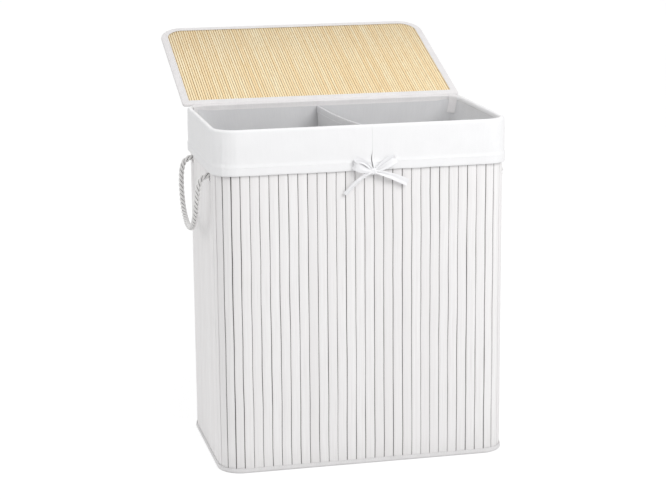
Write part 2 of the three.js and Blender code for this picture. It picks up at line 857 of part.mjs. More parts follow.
// The lid's inner face: fine strips of plain bamboo with a groove between each two, glued to their cloth
function fineStrips(halfWidth, faceHeight) {
  const count = Math.round((2 * halfWidth) / stripPitch);
  const edges = evenly(at(-halfWidth, faceHeight), at(halfWidth, faceHeight), count);
  const teeth = range(count).flatMap((i) => [
    at(edges[i].x + stripGroove / 2, faceHeight),
    at(edges[i + 1].x - stripGroove / 2, faceHeight),
    at(edges[i + 1].x, faceHeight + stripThickness),
  ]);
  const root = faceHeight + stripThickness;
  const cloth = root + stripBacking;
  return [at(-halfWidth, root), ...teeth, at(halfWidth, cloth), at(-halfWidth, cloth)];
}

const innerFace = bindingThickness + seat;
addToLid(
  "lid_inner_mat",
  trimmedMat(
    fineStrips(lidMatPlan.halfWidth + overrun, innerFace),
    lidMatPlan,
    innerFace,
    innerFace + stripThickness + stripBacking,
  ),
  plainBamboo,
);

// Hinge tape: one leaf sewn to the rim binding behind, the other to the top of the lid
const tapeHalfLength = basket.halfWidth - basketCornerRadius - seat;
const tapeTop = rimNoseHeight - 2 * noseRadius;
const tapeOut = wallThickness / 2 + seat + bindingThickness + seat + wallMiddle;
const slab = (width, depth, height) => new THREE.BoxGeometry(width, depth, height);
add(
  "hinge_tape_rim_leaf",
  slab(2 * tapeHalfLength, hingeTapeThickness, hingeTapeHeight).translate(
    0,
    basket.halfDepth + tapeOut + hingeTapeThickness / 2,
    tapeTop - hingeTapeHeight / 2,
  ),
  bindingCloth,
);
add(
  "hinge_tape_lid_leaf",
  slab(2 * tapeHalfLength, hingeTapeHeight, hingeTapeThickness).translate(
    0,
    -lidBindingReach - hingeTapeHeight / 2,
    lidThickness + seat + hingeTapeThickness / 2,
  ),
  bindingCloth,
  lid,
);

export default hamper;
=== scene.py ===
"""Looks of a laundry hamper with two bins, built round its fixed frame.

The hamper is a basket of painted bamboo slats on two wire frames. A cloth liner hangs in it, its cuff folded
over the rim and tied with a bow. A lid on a cloth hinge stands open, and a rope handle hangs on each side.
Lengths in the classes are in millimetres, and the meshes are in metres. +X is right, +Y back and +Z up.
"""
import logging
import math
import random
from contextlib import contextmanager
from dataclasses import dataclass, field, replace
from enum import Enum
from typing import Callable, Iterable, Iterator, Sequence

import bmesh
import bpy
from mathutils import Matrix, Vector, noise


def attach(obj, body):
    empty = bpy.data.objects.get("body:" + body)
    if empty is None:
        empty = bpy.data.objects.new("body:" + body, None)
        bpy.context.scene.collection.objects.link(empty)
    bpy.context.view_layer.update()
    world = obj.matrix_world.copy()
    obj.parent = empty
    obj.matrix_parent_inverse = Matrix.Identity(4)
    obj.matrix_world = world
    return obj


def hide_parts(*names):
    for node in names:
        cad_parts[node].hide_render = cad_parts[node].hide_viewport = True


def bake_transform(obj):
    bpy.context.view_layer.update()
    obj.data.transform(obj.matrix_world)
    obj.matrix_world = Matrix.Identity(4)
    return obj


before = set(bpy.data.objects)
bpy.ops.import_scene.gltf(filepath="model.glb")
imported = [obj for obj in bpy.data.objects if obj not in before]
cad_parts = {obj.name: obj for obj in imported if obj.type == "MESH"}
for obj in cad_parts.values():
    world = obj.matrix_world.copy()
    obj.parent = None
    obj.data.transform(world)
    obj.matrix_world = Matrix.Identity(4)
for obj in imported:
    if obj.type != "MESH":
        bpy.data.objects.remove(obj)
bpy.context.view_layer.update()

log = logging.getLogger("hamper")

MM = 0.001
QUARTER = math.pi / 2
NEAR = 1e-6
Piece = bpy.types.Object
Socket = bpy.types.NodeSocket
Colour = tuple[float, float, float, float]
Place = tuple[float, float, float]
Pair = tuple[float, float]
Rows = Sequence[Sequence[Vector]]


class Body(Enum):
    """The moving bodies of the hamper."""

    BASKET = "basket"
    LID = "lid"
    LEFT_HANDLE = "left_handle"
    RIGHT_HANDLE = "right_handle"


class Side(Enum):
    """The side of the hamper that a handle hangs on, as a sign along X."""

    LEFT = -1
    RIGHT = 1


# ---- Finishes


def colour(red: int, green: int, blue: int) -> Colour:
    """Turns a display colour, 0 to 255, into the linear colour, with full alpha, that a shader takes."""
    parts = (red / 255, green / 255, blue / 255)
    return (*(c / 12.92 if c <= 0.04045 else ((c + 0.055) / 1.055) ** 2.4 for c in parts), 1.0)


class Nodes:
    """A tree of shader nodes, built a node at a time."""

    def __init__(self, tree: bpy.types.NodeTree) -> None:
        """Takes the tree that the nodes are added to."""
        self.tree = tree

    def node(self, kind: str, inputs: dict | None = None, **settings: object) -> bpy.types.Node:
        """Adds a node.

        Args:
            kind: The node's type, without the words ShaderNode.
            inputs: Values, or sockets to link from, by input name or number.
            **settings: Attributes of the node.

        Returns:
            The new node.
        """
        made = self.tree.nodes.new("ShaderNode" + kind)
        for key, value in settings.items():
            setattr(made, key, value)
        for key, value in (inputs or {}).items():
            self.feed(made.inputs[key], value)
        return made

    def feed(self, socket: Socket, value: object) -> None:
        """Links a socket to another one, or gives it a plain value.

        Args:
            socket: The socket that is fed.
            value: The socket to link from, or the value.
        """
        if isinstance(value, Socket):
            self.tree.links.new(value, socket)
        else:
            socket.default_value = value

    def stretched(self, source: str, scale: Place = (1.0, 1.0, 1.0)) -> Socket:
        """Gives the Texture Coordinate output of this name, UV or Object, scaled along each axis."""
        where = self.node("TexCoord").outputs[source]
        return self.node("Mapping", {"Vector": where, "Scale": scale}).outputs["Vector"]

    def noise(self, where: Socket, scale: float, detail: float = 3.0) -> Socket:
        """Gives a noise value, about 0.5 on average, at the coordinates."""
        return self.node("TexNoise", {"Vector": where, "Scale": scale, "Detail": detail}).outputs["Fac"]

    def wave(self, where: Socket, scale: float, distortion: float, detail: Pair, direction: str) -> Socket:
        """Gives bands across one direction.

        Args:
            where: The coordinates.
            scale: The scale of the bands.
            distortion: How far they are distorted.
            detail: The detail of the distortion, and the scale of that detail.
            direction: The direction that they follow each other in, X, Y or DIAGONAL.

        Returns:
            The value, 0 to 1.
        """
        inputs = {"Vector": where, "Scale": scale, "Distortion": distortion}
        inputs |= {"Detail": detail[0], "Detail Scale": detail[1]}
        return self.node("TexWave", inputs, bands_direction=direction).outputs["Fac"]

    def span(self, value: Socket, low: float, high: float, to_low: float = 0.0, to_high: float = 1.0) -> Socket:
        """Maps a value from low..high to to_low..to_high, clamped."""
        numbers = {"Value": value, "From Min": low, "From Max": high, "To Min": to_low, "To Max": to_high}
        return self.node("MapRange", numbers).outputs["Result"]

    def math(self, operation: str, first: object, second: object) -> Socket:
        """Gives the result of one Math node."""
        return self.node("Math", {0: first, 1: second}, operation=operation).outputs[0]

    def shared(self, first: Socket, share: float, second: Socket) -> Socket:
        """Adds two values, the first weighed by its share and the second by the rest."""
        rest = self.math("MULTIPLY", second, 1 - share)
        return self.math("ADD", self.math("MULTIPLY", first, share), rest)

    def mixed(self, share: Socket, first: object, second: object) -> Socket:
        """Mixes two colours, first at share 0 and second at share 1.

        Args:
            share: How much of the second, 0 to 1.
            first: A colour.
            second: Another colour.

        Returns:
            The mix.
        """
        made = self.node("Mix", {"Factor": share}, data_type="RGBA")
        self.feed(made.inputs[6], first)
        self.feed(made.inputs[7], second)
        return made.outputs[2]

    def seen(self) -> Socket:
        """Gives 1 for a ray from the camera, off a shiny face or through a clear one, and else 0.

        Returns:
            The value.
        """
        path = self.node("LightPath").outputs
        direct = self.math("MAXIMUM", path["Is Camera Ray"], path["Is Glossy Ray"])
        return self.math("MAXIMUM", direct, path["Is Transmission Ray"])


class Shade(Nodes):
    """One node material, built round its Principled shader."""

    def __init__(self, name: str) -> None:
        """Starts the material with its shader.

        Args:
            name: The material's name.
        """
        self.material = bpy.data.materials.new(name)
        self.material.use_nodes = True
        super().__init__(self.material.node_tree)
        self.shader = self.tree.nodes["Principled BSDF"]

    def paint(self, base: Socket, rough: object) -> None:
        """Gives the shader its base colour and its roughness."""
        self.feed(self.shader.inputs["Base Color"], base)
        self.feed(self.shader.inputs["Roughness"], rough)

    def bumped(self, height: Socket, strength: float, depth: float) -> None:
        """Sets the shader's normal from a height of 0 to 1, with its strength and its full depth in metres."""
        made = self.node("Bump", {"Height": height, "Strength": strength, "Distance": depth})
        self.feed(self.shader.inputs["Normal"], made.outputs["Normal"])

    def plain(self, **values: float) -> None:
        """Sets plain values on the shader's own sockets, with _ for a space in each name."""
        for key, value in values.items():
            self.shader.inputs[key.replace("_", " ")].default_value = value


@dataclass(frozen=True)
class Finish:
    """What a piece is made of: the name of its material and of the slot that a buyer can recolour."""

    name: str
    slot: str


@dataclass(frozen=True)
class Bamboo(Finish):
    """Bamboo slats: grain along the slat, and a tone of its own for each slat."""

    light: Colour
    dark: Colour
    streak: Colour
    grain_pitch: float = 0.0011
    roughness: float = 0.5
    bump: float = 0.35
    node_marks: float = 0.0
    lines: float = 0.55
    uneven: float = 0.6

    def material(self) -> bpy.types.Material:
        """Builds the material.

        Returns:
            The material, which reads the slat's own UV map and its tone attribute.
        """
        shade = Shade(self.name)
        tone = shade.node("Attribute", attribute_name="tone").outputs["Fac"]
        fine = shade.noise(shade.stretched("UV", (1 / self.grain_pitch, 14.0, 1.0)), 1.0, 4.0)
        broad = shade.noise(shade.stretched("UV", (260.0, 3.0, 1.0)), 1.0, 2.0)
        grain = shade.shared(fine, 0.55, broad)
        body = shade.mixed(shade.span(grain, 0.36, 0.66), self.light, self.dark)
        body = shade.mixed(shade.span(fine, 0.60, 0.72, 0.0, self.lines), body, self.streak)
        body = shade.mixed(shade.span(tone, 0.0, 1.0, 0.0, self.uneven), body, self.dark)
        if self.node_marks:
            knots = shade.noise(shade.stretched("UV", (12.0, 210.0, 1.0)), 1.0, 1.0)
            body = shade.mixed(shade.span(knots, 0.70, 0.78, 0.0, self.node_marks), body, self.streak)
        shade.paint(body, shade.span(grain, 0.3, 0.7, self.roughness - 0.06, self.roughness + 0.1))
        shade.bumped(grain, self.bump, 0.0004)
        return shade.material


@dataclass(frozen=True)
class Cloth(Finish):
    """Woven cloth: its threads, soft mottling, painted shade in the hollows between the threads, and a matt sheen.
    """

    face: Colour
    # The darker colour: random mottle, and painted shade in the weave's hollows.
    mottle_and_weave_shade: Colour
    thread_pitch: float = 0.0007
    weave: float = 0.5
    mottle: float = 0.5
    roughness: float = 0.85
    sheen: float = 0.25

    def material(self) -> bpy.types.Material:
        """Builds the material.

        Returns:
            The material, which reads the cloth's own UV map, in metres.
        """
        shade = Shade(self.name)
        turns = math.tau / self.thread_pitch / 20
        where = shade.node("TexCoord").outputs["UV"]
        threads = shade.math("MULTIPLY", *(shade.wave(where, turns, 0.6, (1.0, 2.0), way) for way in "XY"))
        slubs = shade.noise(shade.stretched("UV", (400.0, 30.0, 1.0)), 1.0)
        soft = shade.noise(shade.stretched("UV"), 28.0, 4.0)
        uneven = shade.shared(slubs, 0.4, soft)
        body = shade.mixed(shade.span(uneven, 0.35, 0.70, 0.0, self.mottle), self.face, self.mottle_and_weave_shade)
        # Painted shade: the colour darkens in the hollows between the threads.
        body = shade.mixed(shade.span(threads, 0.0, 0.5, 0.35, 0.0), body, self.mottle_and_weave_shade)
        shade.paint(body, shade.span(slubs, 0.3, 0.7, self.roughness - 0.07, self.roughness + 0.07))
        shade.plain(Sheen_Weight=self.sheen, Sheen_Roughness=0.5)
        shade.bumped(shade.shared(threads, 0.6, slubs), self.weave, 0.00025)
        return shade.material


@dataclass(frozen=True)
class Yarn(Finish):
    """Rope yarn: fine fibres that follow each strand, with painted shade in the grooves between the strands."""

    face: Colour
    # The darker colour: painted shade in the grooves, and a little random fluff tone.
    groove: Colour

    def material(self) -> bpy.types.Material:
        """Builds the material.

        Returns:
            The material, which reads the rope's UV map and its groove attribute.
        """
        shade = Shade(self.name)
        depth = shade.node("Attribute", attribute_name="groove").outputs["Fac"]
        fibres = shade.wave(shade.stretched("UV"), 210.0, 2.5, (2.0, 1.5), "DIAGONAL")
        fluff = shade.noise(shade.stretched("UV", (500.0, 900.0, 1.0)), 1.0)
        body = shade.mixed(shade.span(fluff, 0.3, 0.7, 0.0, 0.12), self.face, self.groove)
        # Painted shade: the groove colour darkens the rope where the strands meet.
        body = shade.mixed(shade.span(depth, 0.6, 1.0), body, self.groove)
        shade.paint(body, shade.span(fluff, 0.3, 0.7, 0.78, 0.92))
        shade.plain(Sheen_Weight=0.3, Sheen_Roughness=0.5)
        shade.bumped(shade.shared(fibres, 0.7, fluff), 0.6, 0.0004)
        return shade.material


@dataclass(frozen=True)
class Wire(Finish):
    """Drawn steel wire, a little dulled."""

    face: Colour
    dull: Colour

    def material(self) -> bpy.types.Material:
        """Builds the material, which reads Object coordinates.

        Returns:
            The material.
        """
        shade = Shade(self.name)
        drawn = shade.noise(shade.stretched("Object"), 380.0)
        shade.paint(shade.mixed(drawn, self.face, self.dull), shade.span(drawn, 0.3, 0.7, 0.3, 0.5))
        shade.plain(Metallic=1.0)
        shade.bumped(drawn, 0.2, 0.0002)
        return shade.material


PAINTED = Bamboo(
    "painted_slats", "painted_bamboo", colour(241, 240, 240), colour(231, 229, 229), colour(212, 208, 208),
    bump=0.2, lines=0.3, uneven=0.7,
)
STRAW = Bamboo(
    "straw_strips", "plain_bamboo", colour(255, 246, 213), colour(244, 217, 168), colour(198, 158, 104),
    grain_pitch=0.0007, bump=0.4, node_marks=0.35, lines=0.6, uneven=0.8,
)
LINER = Cloth("liner_cotton", "liner_cloth", colour(243, 243, 244), colour(231, 231, 232), mottle=0.3, sheen=0.6)
# The liner's cloth as LINER, painted darker: painted shade inside the basket, on the bag's walls, bin floors and
# divider.
LINER_IN_PAINTED_SHADE = Cloth("bag_cotton", "liner_cloth", colour(219, 219, 220), colour(202, 202, 204), mottle=0.45)
# The cloth behind the slats, painted dark grey: painted shade in the gaps between the slats.
BACKING_PAINTED_SHADE = Cloth("backing_gauze", "painted_bamboo", colour(120, 118, 118), colour(84, 82, 82), 0.0012)
# The cloth behind the lid's strips, painted dark brown: painted shade in the gaps between the strips.
STRAW_BACKING_PAINTED_SHADE = Cloth("straw_gauze", "plain_bamboo", colour(170, 134, 84), colour(128, 98, 58), 0.0012)
BINDING = Cloth("binding_twill", "binding_cloth", colour(238, 236, 236), colour(216, 213, 214), 0.0009, 0.7)
# The rim's tape, painted a little darker: painted shade at the foot of the basket.
BASE_BINDING_PAINTED_SHADE = Cloth("base_twill", "binding_cloth", colour(232, 231, 231), colour(206, 204, 205), 0.0009, 0.8)
RIBBON = Cloth("ribbon_satin", "ribbon", colour(241, 241, 242), colour(228, 228, 231), 0.0005, 0.35, roughness=0.6)
THREAD = Yarn("sewing_thread", "liner_cloth", colour(240, 240, 241), colour(214, 214, 216))
# The rope's second colour is painted shade in its grooves.
ROPE = Yarn("rope_cotton", "rope", colour(244, 243, 242), colour(132, 130, 129))
STEEL = Wire("dull_steel", "steel_wire", colour(168, 168, 172), colour(120, 120, 124))


@dataclass
class Dresser:
    """Keeps one material for each finish and puts it on the pieces."""

    made: dict[str, bpy.types.Material] = field(default_factory=dict)

    def dress(self, piece: Piece, finish: Finish) -> None:
        """Gives a piece its finish's material.

        Args:
            piece: The piece to dress.
            finish: The finish it takes.
        """
        if finish.name not in self.made:
            self.made[finish.name] = finish.material()
        if piece.material_slots:
            for slot in piece.material_slots:
                slot.material = self.made[finish.name]
        else:
            piece.data.materials.append(self.made[finish.name])


dresser = Dresser()


# ---- Modelling by operators


def choose(*pieces: Piece) -> None:
    """Selects these objects alone, the first of them active.

    Args:
        *pieces: The objects to select.
    """
    bpy.ops.object.select_all(action="DESELECT")
    for piece in pieces:
        piece.select_set(True)
    if pieces:
        bpy.context.view_layer.objects.active = pieces[0]


@contextmanager
def edit_mode(piece: Piece, kind: str = "VERT", whole: bool = False) -> Iterator[None]:
    """Opens a piece in edit mode.

    Args:
        piece: The mesh to edit.
        kind: What is selected in it, VERT, EDGE or FACE.
        whole: Whether all of it is selected at first, instead of nothing.

    Yields:
        Nothing; edit mode ends after the block.
    """
    choose(piece)
    bpy.ops.object.mode_set(mode="EDIT")
    bpy.ops.mesh.select_mode(type=kind)
    bpy.ops.mesh.select_all(action="SELECT" if whole else "DESELECT")
    yield
    bpy.ops.object.mode_set(mode="OBJECT")


def pick_edges(piece: Piece, wanted: Callable[[bmesh.types.BMEdge], bool]) -> None:
    """Selects the edges of a piece in edit mode that pass a test.

    Args:
        piece: The piece.
        wanted: The test, which takes an edge.
    """
    mesh = bmesh.from_edit_mesh(piece.data)
    for edge in mesh.edges:
        edge.select_set(bool(wanted(edge)))
    bmesh.update_edit_mesh(piece.data)


def pick_verts(piece: Piece, wanted: Callable[[bmesh.types.BMVert], bool]) -> None:
    """Selects the vertices of a piece in edit mode that pass a test.

    Args:
        piece: The piece.
        wanted: The test, which takes a vertex.
    """
    mesh = bmesh.from_edit_mesh(piece.data)
    for vert in mesh.verts:
        vert.select_set(bool(wanted(vert)))
    mesh.select_flush_mode()
    bmesh.update_edit_mesh(piece.data)


def apply_modifier(piece: Piece, kind: str, **settings: object) -> None:
    """Adds a modifier of this type and these attributes to a piece, and applies it.

    Args:
        piece: The piece.
        kind: The modifier's type.
        **settings: Attributes of the modifier.
    """
    choose(piece)
    modifier = piece.modifiers.new(kind.title(), kind)
    for key, value in settings.items():
        setattr(modifier, key, value)
    bpy.ops.object.modifier_apply(modifier=modifier.name)


def cut_with(piece: Piece, tool: Piece, operation: str) -> None:
    """Cuts a piece with a tool, by DIFFERENCE or INTERSECT, and removes the tool."""
    apply_modifier(piece, "BOOLEAN", operation=operation, object=tool, solver="EXACT")
    bpy.data.objects.remove(tool)


def smooth(piece: Piece, degrees: float = 40.0) -> None:
    """Shades a piece smooth, with sharp edges past an angle."""
    choose(piece)
    bpy.ops.object.shade_smooth_by_angle(angle=math.radians(degrees))


def named(piece: Piece, name: str) -> Piece:
    """Names a piece and its mesh.

    Args:
        piece: The piece.
        name: Its name.

    Returns:
        The piece.
    """
    piece.name = name
    piece.data.name = name
    return piece


def gone(line: Sequence[Vector], unit: float = 1.0) -> list[float]:
    """Lists how far along a line each of its points lies, each step times a unit.

    Args:
        line: The line's points.
        unit: What each step is multiplied by.

    Returns:
        The distances, 0 at the first point.
    """
    found = [0.0]
    for before, after in zip(line, line[1:]):
        found.append(found[-1] + (after - before).length * unit)
    return found


def lay(name: str, rows: Rows, thickness: float = 0.0, ring: bool = False) -> Piece:
    """Lays a grid of cloth over rows of points, with a UV map in metres.

    Args:
        name: The piece's name.
        rows: Rows of points in millimetres, from the first edge of the cloth to the last.
        thickness: The cloth's thickness in millimetres; 0 leaves it a bare face.
        ring: Whether each row closes on its first point, which then takes its last point's place.

    Returns:
        The piece.
    """
    if ring:
        rows = [[*row[:-1], row[0]] for row in rows]
    down, along = len(rows), len(rows[0])
    choose()
    bpy.ops.mesh.primitive_grid_add(x_subdivisions=along - 1, y_subdivisions=down - 1, size=1)
    piece = named(bpy.context.object, name)
    piece.data.vertices.foreach_set("co", [c * MM for row in rows for point in row for c in point])
    across, length = gone(rows[down // 2], MM), gone([row[0] for row in rows], MM)
    layer = piece.data.uv_layers[0].data
    for corner in piece.data.loops:
        i, j = divmod(corner.vertex_index, along)
        layer[corner.index].uv = (across[j], length[i])
    if ring:
        with edit_mode(piece, whole=True):
            bpy.ops.mesh.remove_doubles(threshold=1e-7)
    if thickness:
        apply_modifier(piece, "SOLIDIFY", thickness=thickness * MM, offset=0.0)
    smooth(piece)
    return piece


def twin(pattern: Piece, name: str) -> Piece:
    """Copies a pattern with its own mesh.

    Args:
        pattern: The piece that is copied.
        name: The copy's name.

    Returns:
        The copy.
    """
    piece = bpy.data.objects.new(name, pattern.data.copy())
    bpy.context.scene.collection.objects.link(piece)
    return piece


def joined(pieces: Sequence[Piece], name: str) -> Piece:
    """Joins pieces into one and names it.

    Args:
        pieces: The pieces; the first takes in the others.
        name: Its name.

    Returns:
        The joined piece.
    """
    choose(*pieces)
    if len(pieces) > 1:
        bpy.ops.object.join()
    return named(bpy.context.object, name)


def copied(
    pattern: Piece, places: Sequence[Matrix], name: str, tones: Iterable[float] | None = None,
    vary: Callable[[Vector, Matrix], None] | None = None,
) -> Piece:
    """Copies a pattern to each place, each copy with its own mesh, and joins the copies into one piece.

    Args:
        pattern: The piece that is copied; it is removed.
        places: The place of each copy, in metres.
        name: The name of the joined piece.
        tones: The tone of each copy, 0 to 1, kept as an attribute.
        vary: Moves each vertex of a copy a little before it is put in its place.

    Returns:
        The joined piece.
    """
    tone_shift, middle_tone = 3.7, 0.5
    copies = []
    for place, tone in zip(places, tones or [middle_tone] * len(places)):
        piece = twin(pattern, name)
        if vary:
            for vert in piece.data.vertices:
                vary(vert.co, place)
        piece.data.transform(place)
        layer = piece.data.attributes.new("tone", "FLOAT", "POINT")
        layer.data.foreach_set("value", [tone] * len(piece.data.vertices))
        for corner in piece.data.uv_layers[0].data:
            corner.uv[0] += tone * tone_shift
        copies.append(piece)
    bpy.data.objects.remove(pattern)
    return joined(copies, name)


def settle(piece: Piece, finish: Finish, body: Body | None, *stands_for: str) -> Piece:
    """Dresses a finished piece, lets it ride on its body and hides the nodes that it stands for.

    Args:
        piece: The finished piece.
        finish: Its finish.
        body: The body it rides on, or None where it is blended across a joint.
        *stands_for: The nodes that it replaces.

    Returns:
        The piece.
    """
    dresser.dress(piece, finish)
    if body:
        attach(piece, body.value)
    if stands_for:
        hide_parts(*stands_for)
    log.info("%s: %d faces", piece.name, len(piece.data.polygons))
    return piece


# ---- Outlines and lines


@dataclass(frozen=True)
class Plan:
    """A rounded rectangle about the origin, seen from above, with one radius in front and one behind.

    A way is a place on the way round it, from 0 to 8: 0 to 1 is the front right corner, 1 to 2 the right side,
    and so on anticlockwise, so that 7 to 8 is the front from left to right. Ways past 8 go round again.
    """

    half_width: float
    half_depth: float
    front_radius: float
    rear_radius: float
    least_radius: float = 1.0

    def grown(self, out: float) -> "Plan":
        """Gives the outline this far outside."""
        radii = (max(radius + out, self.least_radius) for radius in (self.front_radius, self.rear_radius))
        return Plan(self.half_width + out, self.half_depth + out, *radii)

    def corner(self, number: int, share: float) -> Vector:
        """Gives a point on a corner.

        Args:
            number: 0 front right, 1 rear right, 2 rear left, 3 front left.
            share: How far round the corner, 0 to 1.

        Returns:
            The point.
        """
        radius = self.front_radius if number in (0, 3) else self.rear_radius
        side_x = 1 if number in (0, 1) else -1
        side_y = -1 if number in (0, 3) else 1
        turn = QUARTER * (number - 1 + share)
        return Vector((
            side_x * (self.half_width - radius) + radius * math.cos(turn),
            side_y * (self.half_depth - radius) + radius * math.sin(turn),
        ))

    def place(self, way: float) -> Vector:
        """Gives the point at a way round the outline.

        Args:
            way: The way round.

        Returns:
            The point, as X and Y.
        """
        number, share = int(way) % 8, way - int(way)
        if number % 2 == 0:
            return self.corner(number // 2, share)
        start, end = self.corner(number // 2, 1.0), self.corner((number // 2 + 1) % 4, 0.0)
        return start.lerp(end, share)

    def face(self, way: float, sign: int = 1) -> Vector:
        """Gives the direction straight out of the outline at a way, or straight into it where sign is -1.

        Args:
            way: The way round.
            sign: 1 to point out of the outline, -1 to point into it.

        Returns:
            The direction, which is level.
        """
        number, share = int(way) % 8, way - int(way)
        turn = QUARTER * (number // 2 - 1 + (share if number % 2 == 0 else 1.0))
        return Vector((math.cos(turn), math.sin(turn), 0.0)) * sign

    def point(self, way: float, out: float, height: float) -> Vector:
        """Gives the point at a way round, this far outside and this high."""
        spot = self.grown(out).place(way)
        return Vector((spot.x, spot.y, height))

    def reach(self, off: float, along: float, radius: float) -> float:
        """Gives how far the outline reaches on from a middle line, off to one side, where its corner turns.

        Args:
            off: How far beyond the start of the corner's turn the place lies, across the middle line.
            along: Half the outline's size along the reach.
            radius: The corner's radius.

        Returns:
            The reach.
        """
        return along - radius + math.sqrt(max(radius**2 - max(0.0, off) ** 2, 0.0))


BASKET_PLAN = Plan(259.0, 159.0, 41.0, 41.0)
BASKET_FLAT = 436.0
WALL_MIDDLE = -1.4
SEAM_X = 13.0
FRONT_Y = -150
ROPE_Y = 92.714
ROPE_HEIGHT = 522.0
WAY_ROUND = (7.5, 15.5)


def front_way(x: float) -> float:
    """Gives the way at which the basket's front passes this X."""
    return 7.0 + (x + BASKET_FLAT / 2) / BASKET_FLAT


def ways(start: float, stop: float, corner_steps: int, long_steps: int, short_steps: int) -> list[float]:
    """Lists ways from start to stop, evenly spread over each corner and each straight stretch.

    Args:
        start: The first way.
        stop: The last way.
        corner_steps: Steps round a whole corner.
        long_steps: Steps along the whole front or back.
        short_steps: Steps along a whole side.

    Returns:
        The ways, both ends included.
    """
    found = [start]
    number = math.floor(start)
    while number < stop - 1e-9:
        low, high = max(start, number), min(stop, number + 1)
        kind = number % 8
        whole = corner_steps if kind % 2 == 0 else (long_steps if kind in (3, 7) else short_steps)
        steps = max(1, round(whole * (high - low)))
        found += [low + (high - low) * (i + 1) / steps for i in range(steps)]
        number += 1
    return found


def even(start: float, stop: float, steps: int) -> list[float]:
    """Lists evenly spaced values from start to stop, both included."""
    return [start + (stop - start) * i / steps for i in range(steps + 1)]


def spread(half: float, steps: int) -> list[float]:
    """Lists evenly spaced values from -half to half, both included."""
    return [half * (2 * i / steps - 1) for i in range(steps + 1)]


def clamp(value: float) -> float:
    """Keeps a value between 0 and 1."""
    return min(1.0, max(0.0, value))


def eased(share: float) -> float:
    """Turns an even share, 0 to 1, into one that starts and ends softly."""
    return share * share * (3 - 2 * share)


def heading(line: Sequence[Vector], i: int) -> Vector:
    """Gives the direction of a line at one of its points."""
    return (line[min(i + 1, len(line) - 1)] - line[max(i - 1, 0)]).normalized()


def smooth_line(points: Sequence[Sequence[float]], steps: int) -> list[Vector]:
    """Runs a smooth curve through points.

    Args:
        points: The points, each of the same number of coordinates.
        steps: Steps between each two of them.

    Returns:
        The curve's points.
    """
    given = [Vector(p) for p in points]
    line = []
    for i in range(len(given) - 1):
        a, b = given[i], given[i + 1]
        before = given[i - 1] if i else a * 2 - b
        after = given[i + 2] if i + 2 < len(given) else b * 2 - a
        squared = 2 * before - 5 * a + 4 * b - after
        cubed = 3 * a - before - 3 * b + after
        for k in range(steps):
            t = k / steps
            line.append(0.5 * (2 * a + (b - before) * t + squared * t**2 + cubed * t**3))
    return [*line, given[-1]]


def bend(centre: Pair, radius: float, start: float, stop: float, steps: int) -> list[Pair]:
    """Lists the points of an arc drawn in (out, height), from one turn to another in radians."""
    turns = even(start, stop, steps)
    return [(centre[0] + radius * math.cos(turn), centre[1] + radius * math.sin(turn)) for turn in turns]


def wander(x: float, y: float, seed: float) -> float:
    """Gives a smooth uneven value, about -1 to 1, that changes over a unit of x and y."""
    return noise.noise(Vector((x, y, seed)))


def filled(plan: Plan, height: float) -> list[list[Vector]]:
    """Gives rows of points that fill a plan's outline at a height, closer together round its corners.

    Args:
        plan: The outline.
        height: The height.

    Returns:
        The rows, from front to back.
    """
    columns, middle_rows, corner_step = 24, 8, 5
    spots = []
    for sign, radius in ((-1, plan.front_radius), (1, plan.rear_radius)):
        steps = max(1, round(radius / corner_step))
        turned = [sign * (plan.half_depth - radius * (1 - math.cos(QUARTER * i / steps))) for i in range(steps)]
        spots += turned if sign < 0 else turned[::-1]
        if sign < 0:
            spots += even(radius - plan.half_depth, plan.half_depth - plan.rear_radius, middle_rows)
    rows = []
    for y in spots:
        radius = plan.front_radius if y < 0 else plan.rear_radius
        half = plan.reach(abs(y) - (plan.half_depth - radius), plan.half_width, radius)
        rows.append([Vector((x, y, height)) for x in spread(half, columns)])
    return rows


# ---- Slats


